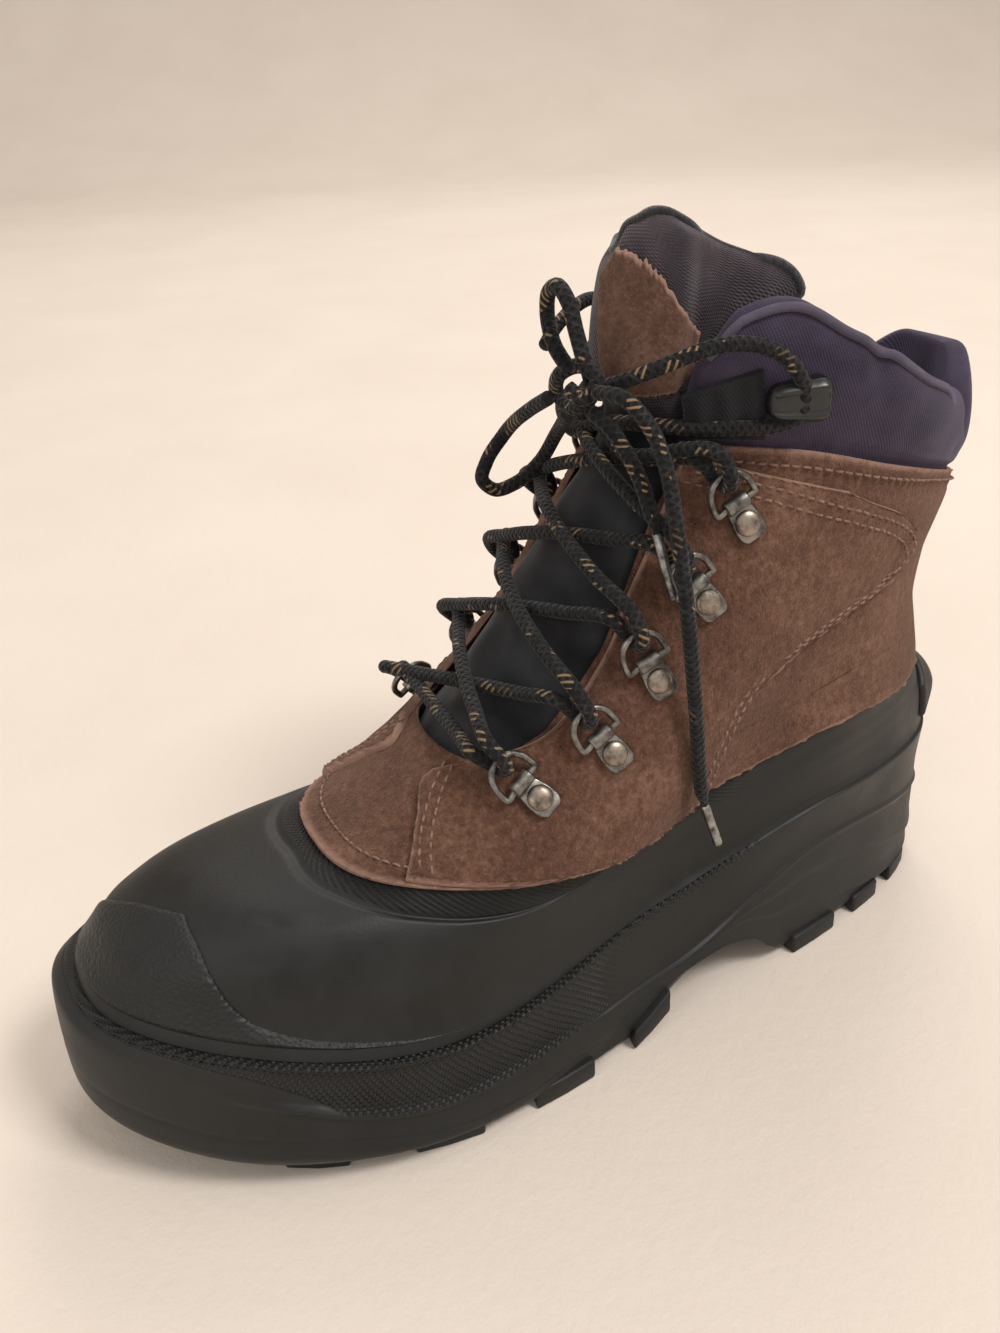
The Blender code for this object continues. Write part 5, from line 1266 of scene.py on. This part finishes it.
# Laces
LACE_DIAMETER = 0.0043
KNOT_ROUTE = ((11, 5, 207.5), (4, 4, 203), (-5, 4, 205), (2, 1, 213), (9.6, 3.5, 216), (15, 4.6, 213),
              (14, 0.6, 208.5), (9.7, -1.5, 211))
LOOP_A_ROUTE = ((6.5, 0.5, 215.5), (3.2, -1.5, 221), (0.2, -1.2, 225), (-2.4, -0.3, 229), (-2, 0, 234),
                (3, 0, 236.7),
                (8, 0, 233.5), (11.4, 0.3, 226), (14, 1, 218.6))
LOOP_B_ROUTE = ((-3.5, 0, 205), (-13.6, -0.4, 199.4), (-28.9, -1.4, 187.9), (-30, -7, 180.4),
                (-29.7, -9, 175.2), (-28, -5.8, 171.7), (-25.4, 0, 173.2), (-23.4, 7.4, 178.7),
                (-17.4, 10.6, 189), (-3, 6, 199.5))
END_A_ROUTE = ((12.8, 4, 204), (17.4, 7, 200), (20.5, 9.5, 194.5), (27, 10.2, 187.5), (32.2, 10.2, 179.8),
               (35.5, 10.2, 174.3), (38.8, 10.4, 166.4), (41.4, 12.1, 156.6))
END_B_ROUTE = ((17.5, 2.3, 210.8), (26, 5.5, 210.5), (31, 10.5, 203), (36, 12.7, 192), (40.6, 12.3, 180.3),
               (45.9, 12.2, 162), (48.5, 14, 136), (49.3, 15.6, 116.3), (49.2, 18.5, 93), (49.5, 25.0, 73))


def free_cords():
    # node, route, what its far end does, and the tip's length in millimetres
    for name, route, far, tip in (("lace_knot", KNOT_ROUTE, "knot", 0),
                                  ("lace_loop_a", LOOP_A_ROUTE, "knot", 0),
                                  ("lace_loop_b", LOOP_B_ROUTE, "knot", 0),
                                  ("lace_end_a", END_A_ROUTE, "fitting", 19),
                                  ("lace_end_b", END_B_ROUTE, "fitting", 17)):
        path = smooth_path(np.array(route) * MM + SHIFT, 0.0007)
        run = np.concatenate([[0], np.cumsum(np.linalg.norm(np.diff(path, axis=0), axis=1))])
        length = run[-1]
        taper, extra = None, []
        if tip:
            start = length - tip * MM
            taper = 1 - 0.50 * soft(run, start - 0.006, start + 0.0005)
            inside = path[run > start]
            metal = tube(name + "_tip", inside, 1.45 * MM, AGLET, 14, taper=None)
            extra = [metal]
        item = tube(name + "_cord", path, LACE_DIAMETER / 2, LACE, 14, taper=taper)
        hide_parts(name)


def strand(start, end, lift, bend=1.0):
    """Middle points of a lace run, lifted over the tongue."""
    levels = np.linspace(7.4, 10.9, 141)
    front = S(np.full(141, 0.5), levels)
    middle = (start + end) / 2
    level = np.interp(middle[2], front[:, 2], levels)
    outward = N(np.array([0.5]), np.array([level]))[0]
    surface = S(np.array([0.5]), np.array([level]))[0]
    crown = outward * (lift - float(np.dot(middle - surface, outward)))
    out = []
    for s in (0.2, 0.4, 0.6, 0.8):
        out.append(start + (end - start) * s + crown * (1 - (2 * s - 1) ** 2) * bend)
    return out


def lace_main():
    reach = RING_REACH
    through = ((reach + 0.0045, -0.0022, 0.0030), (reach - 0.0008, -0.0013, 0.0034),
               (reach - 0.0040, -0.0003, 0.0012), (reach - 0.0042, 0.0003, -0.0010),
               (reach - 0.0006, 0.0013, -0.0030), (reach + 0.0050, 0.0022, -0.0022))
    order = [(-1, 5), (1, 4), (-1, 3), (1, 2), (-1, 1), (1, 1), (-1, 2), (1, 3), (-1, 4), (1, 5)]
    keeper_out = np.array([(15.5, 6.3, 211), (23, 11, 214.5), (27, 16, 217), (31, 23, 220),
                           (34.4, 30, 222), (38.5, 37.3, 222),
                           (41.8, 43.8, 219.4), (44.5, 49, 213.5), (45, 51, 208)]) * MM + SHIFT
    keeper_back = np.array([(43.5, 50.7, 201.6), (39.5, 45, 198.8), (35, 37.7, 198.6), (27, 27.7, 198.4),
                            (15, 18.6, 198.5),
                            (0, 15, 196), (-12, 14.6, 190.5)]) * MM + SHIFT
    flip = np.array([-1, 1, 1])
    mirror = lambda pts: (pts - SHIFT) * flip + SHIFT
    route = list(keeper_out) + list(keeper_back)
    previous = None
    for place, (side, number) in enumerate(order):
        tilted, bar = ring_frame(side, number)[2:]
        pts = [bar + tilted @ np.array(p) for p in through]
        behind = order[place - 1][1] if place else 6
        # the run that comes from below enters under the ring, the one from above over it
        if behind < number or (behind == number and side > 0):
            pts = pts[::-1]
        if previous is not None:
            bottom = number == 1 and order[place - 1][1] == 1
            lift = 0.0062 if bottom else (0.0080 if side * (1 if behind > number else -1) > 0 else 0.0046)
            route += strand(previous, pts[0], lift)
        route += pts
        previous = pts[-1]
    far_back = mirror(keeper_back)[::-1]
    far_out = mirror(keeper_out)[::-1]
    route += list(far_back) + list(far_out)[:-1]
    path = smooth_path(route, 0.0008)
    item = tube("lace_through_rings", path, LACE_DIAMETER / 2, LACE, 12)
    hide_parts("lace_crossings")


# Footbed
def inside():
    n = 200
    edge = plan_ring(2.0, -7.4 * MM, n)
    y = edge[:, 1] - SHIFT[1]
    floor_z = inner_floor(y)
    spine = np.array([np.interp(y, edge[:n // 2 + 1, 1][::-1] - SHIFT[1], edge[:n // 2 + 1, 0][::-1]),
                      np.interp(y, edge[n // 2:, 1] - SHIFT[1], edge[n // 2:, 0])]).mean(0)
    rings = []
    for share in np.linspace(0, 0.985, 30):
        ring = edge.copy()
        ring[:, 0] = ring[:, 0] * (1 - share) + spine * share
        ring[:, 2] = floor_z + 4.8 * MM + 1.2 * MM * (1 - share) ** 3
        rings.append(ring)
    low = edge.copy()
    low[:, 2] = floor_z + 0.4 * MM
    grid = np.stack([low] + rings)
    item = grid_piece("footbed", grid, FLEECE, closed=True, flip=False, uv=uv_of(grid))
    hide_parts("insole")


# Seam lines
def seams():
    rear = [(u + 0.006, v + 0.10) for v, _, u in QUARTER_ROWS[:9]]
    top = [(0.418, 9.80), (0.36, 9.77), (0.30, 9.70), (0.255, 9.66), (0.210, 9.58), (0.172, 9.45),
           (0.153, 9.27),
           (0.163, 9.08), (0.220, 8.87), (0.258, 8.67)]
    vamp_edge = [(x, 7.16) for x in np.linspace(0.27, 0.73, 30)]
    band = [(x, 9.90) for x in np.linspace(0.428, 0.03, 24)]
    lines, low = [], []
    for mirror in (1, -1):
        def at(line, du=0.0, dv=0.0):
            return [((u + du) if mirror > 0 else 1 - (u + du), v + dv) for u, v in line]
        lines += [(at(top), 4.25 * MM), (at(top, 0.006, -0.07), 4.25 * MM), (at(rear[:7]), 4.25 * MM),
                  (at(rear[:7], 0.007), 4.25 * MM)]
        low += [(at(band), 2.5 * MM), (at([(0.470, 7.85), (0.463, 7.65), (0.450, 7.40), (0.432, 7.12)]),
                                       4.25 * MM),
                (at([(0.464, 7.85), (0.457, 7.65), (0.444, 7.40), (0.426, 7.12)]), 4.25 * MM)]
    stitches("overlay_stitches", lines + low, THREAD, relief=leather_relief)
    stitches("vamp_stitches", [(vamp_edge, 2.15 * MM)], THREAD, relief=leather_relief)


# Build
sole_piece()
lugs_piece()
shell_piece()
toe_cap_piece()
heel_tab_piece()
upper_piece()
quarter_piece(1)
quarter_piece(-1)
collar_piece()
tongue_piece()
patch_piece()
hardware()
keepers()
free_cords()
lace_main()
inside()
seams()

# Floor and light


def stage():
    m = Mat("floor_cloth", 0.95)
    n = m.noise(5.0, 5, 0.6)
    m.colour(m.ramp(n, (0.35, (0.665, 0.585, 0.515)), (0.65, (0.695, 0.615, 0.545))))
    m.bump(m.noise(180, 5, 0.7), 0.0012, 0.35)
    mesh = bpy.data.meshes.new("floor")
    away, across = np.array([-0.887, 0.463, 0]), np.array([0.463, 0.887, 0])
    arc = [(2.4 + 1.2 * sin(t), 1.2 - 1.2 * cos(t)) for t in np.linspace(0, pi / 2, 24)]
    profile = [(-5.0, 0.0), (0.0, 0.0), (1.5, 0.0)] + arc + [(3.6, 5.0)]
    points = [away * s + across * t + np.array([0, 0, z]) for s, z in profile for t in (-6.0, 6.0)]
    quads = [(2 * i, 2 * i + 1, 2 * i + 3, 2 * i + 2) for i in range(len(profile) - 1)]
    mesh.from_pydata(points, [], quads)
    mesh.shade_smooth()
    floor = bpy.data.objects.new("floor", mesh)
    floor.data.materials.append(m.m)
    bpy.context.scene.collection.objects.link(floor)
    world = bpy.data.worlds.new("studio")
    world.use_nodes = True
    world.node_tree.nodes["Background"].inputs["Color"].default_value = (1.0, 0.95, 0.88, 1)
    world.node_tree.nodes["Background"].inputs["Strength"].default_value = 0.72
    bpy.context.scene.world = world
    for name, place, size, power, colour in (
            ("key", (1.3, 0.65, 2.1), 0.7, 40.0, (1.0, 0.97, 0.93)),
            ("fill", (1.2, -2.2, 1.5), 1.6, 12.0, (1.0, 0.97, 0.94)),
            ("rim", (-1.6, 1.2, 2.0), 1.4, 28.0, (1.0, 0.97, 0.94))):
        data = bpy.data.lights.new(name, "AREA")
        data.size, data.energy, data.color = size, power, colour
        lamp = bpy.data.objects.new(name, data)
        lamp.location = place
        aim = Vector((0, 0, 0.08)) - Vector(place)
        lamp.rotation_euler = aim.to_track_quat("-Z", "Y").to_euler()
        bpy.context.scene.collection.objects.link(lamp)
    bpy.context.scene.view_settings.view_transform = "Standard"


stage()
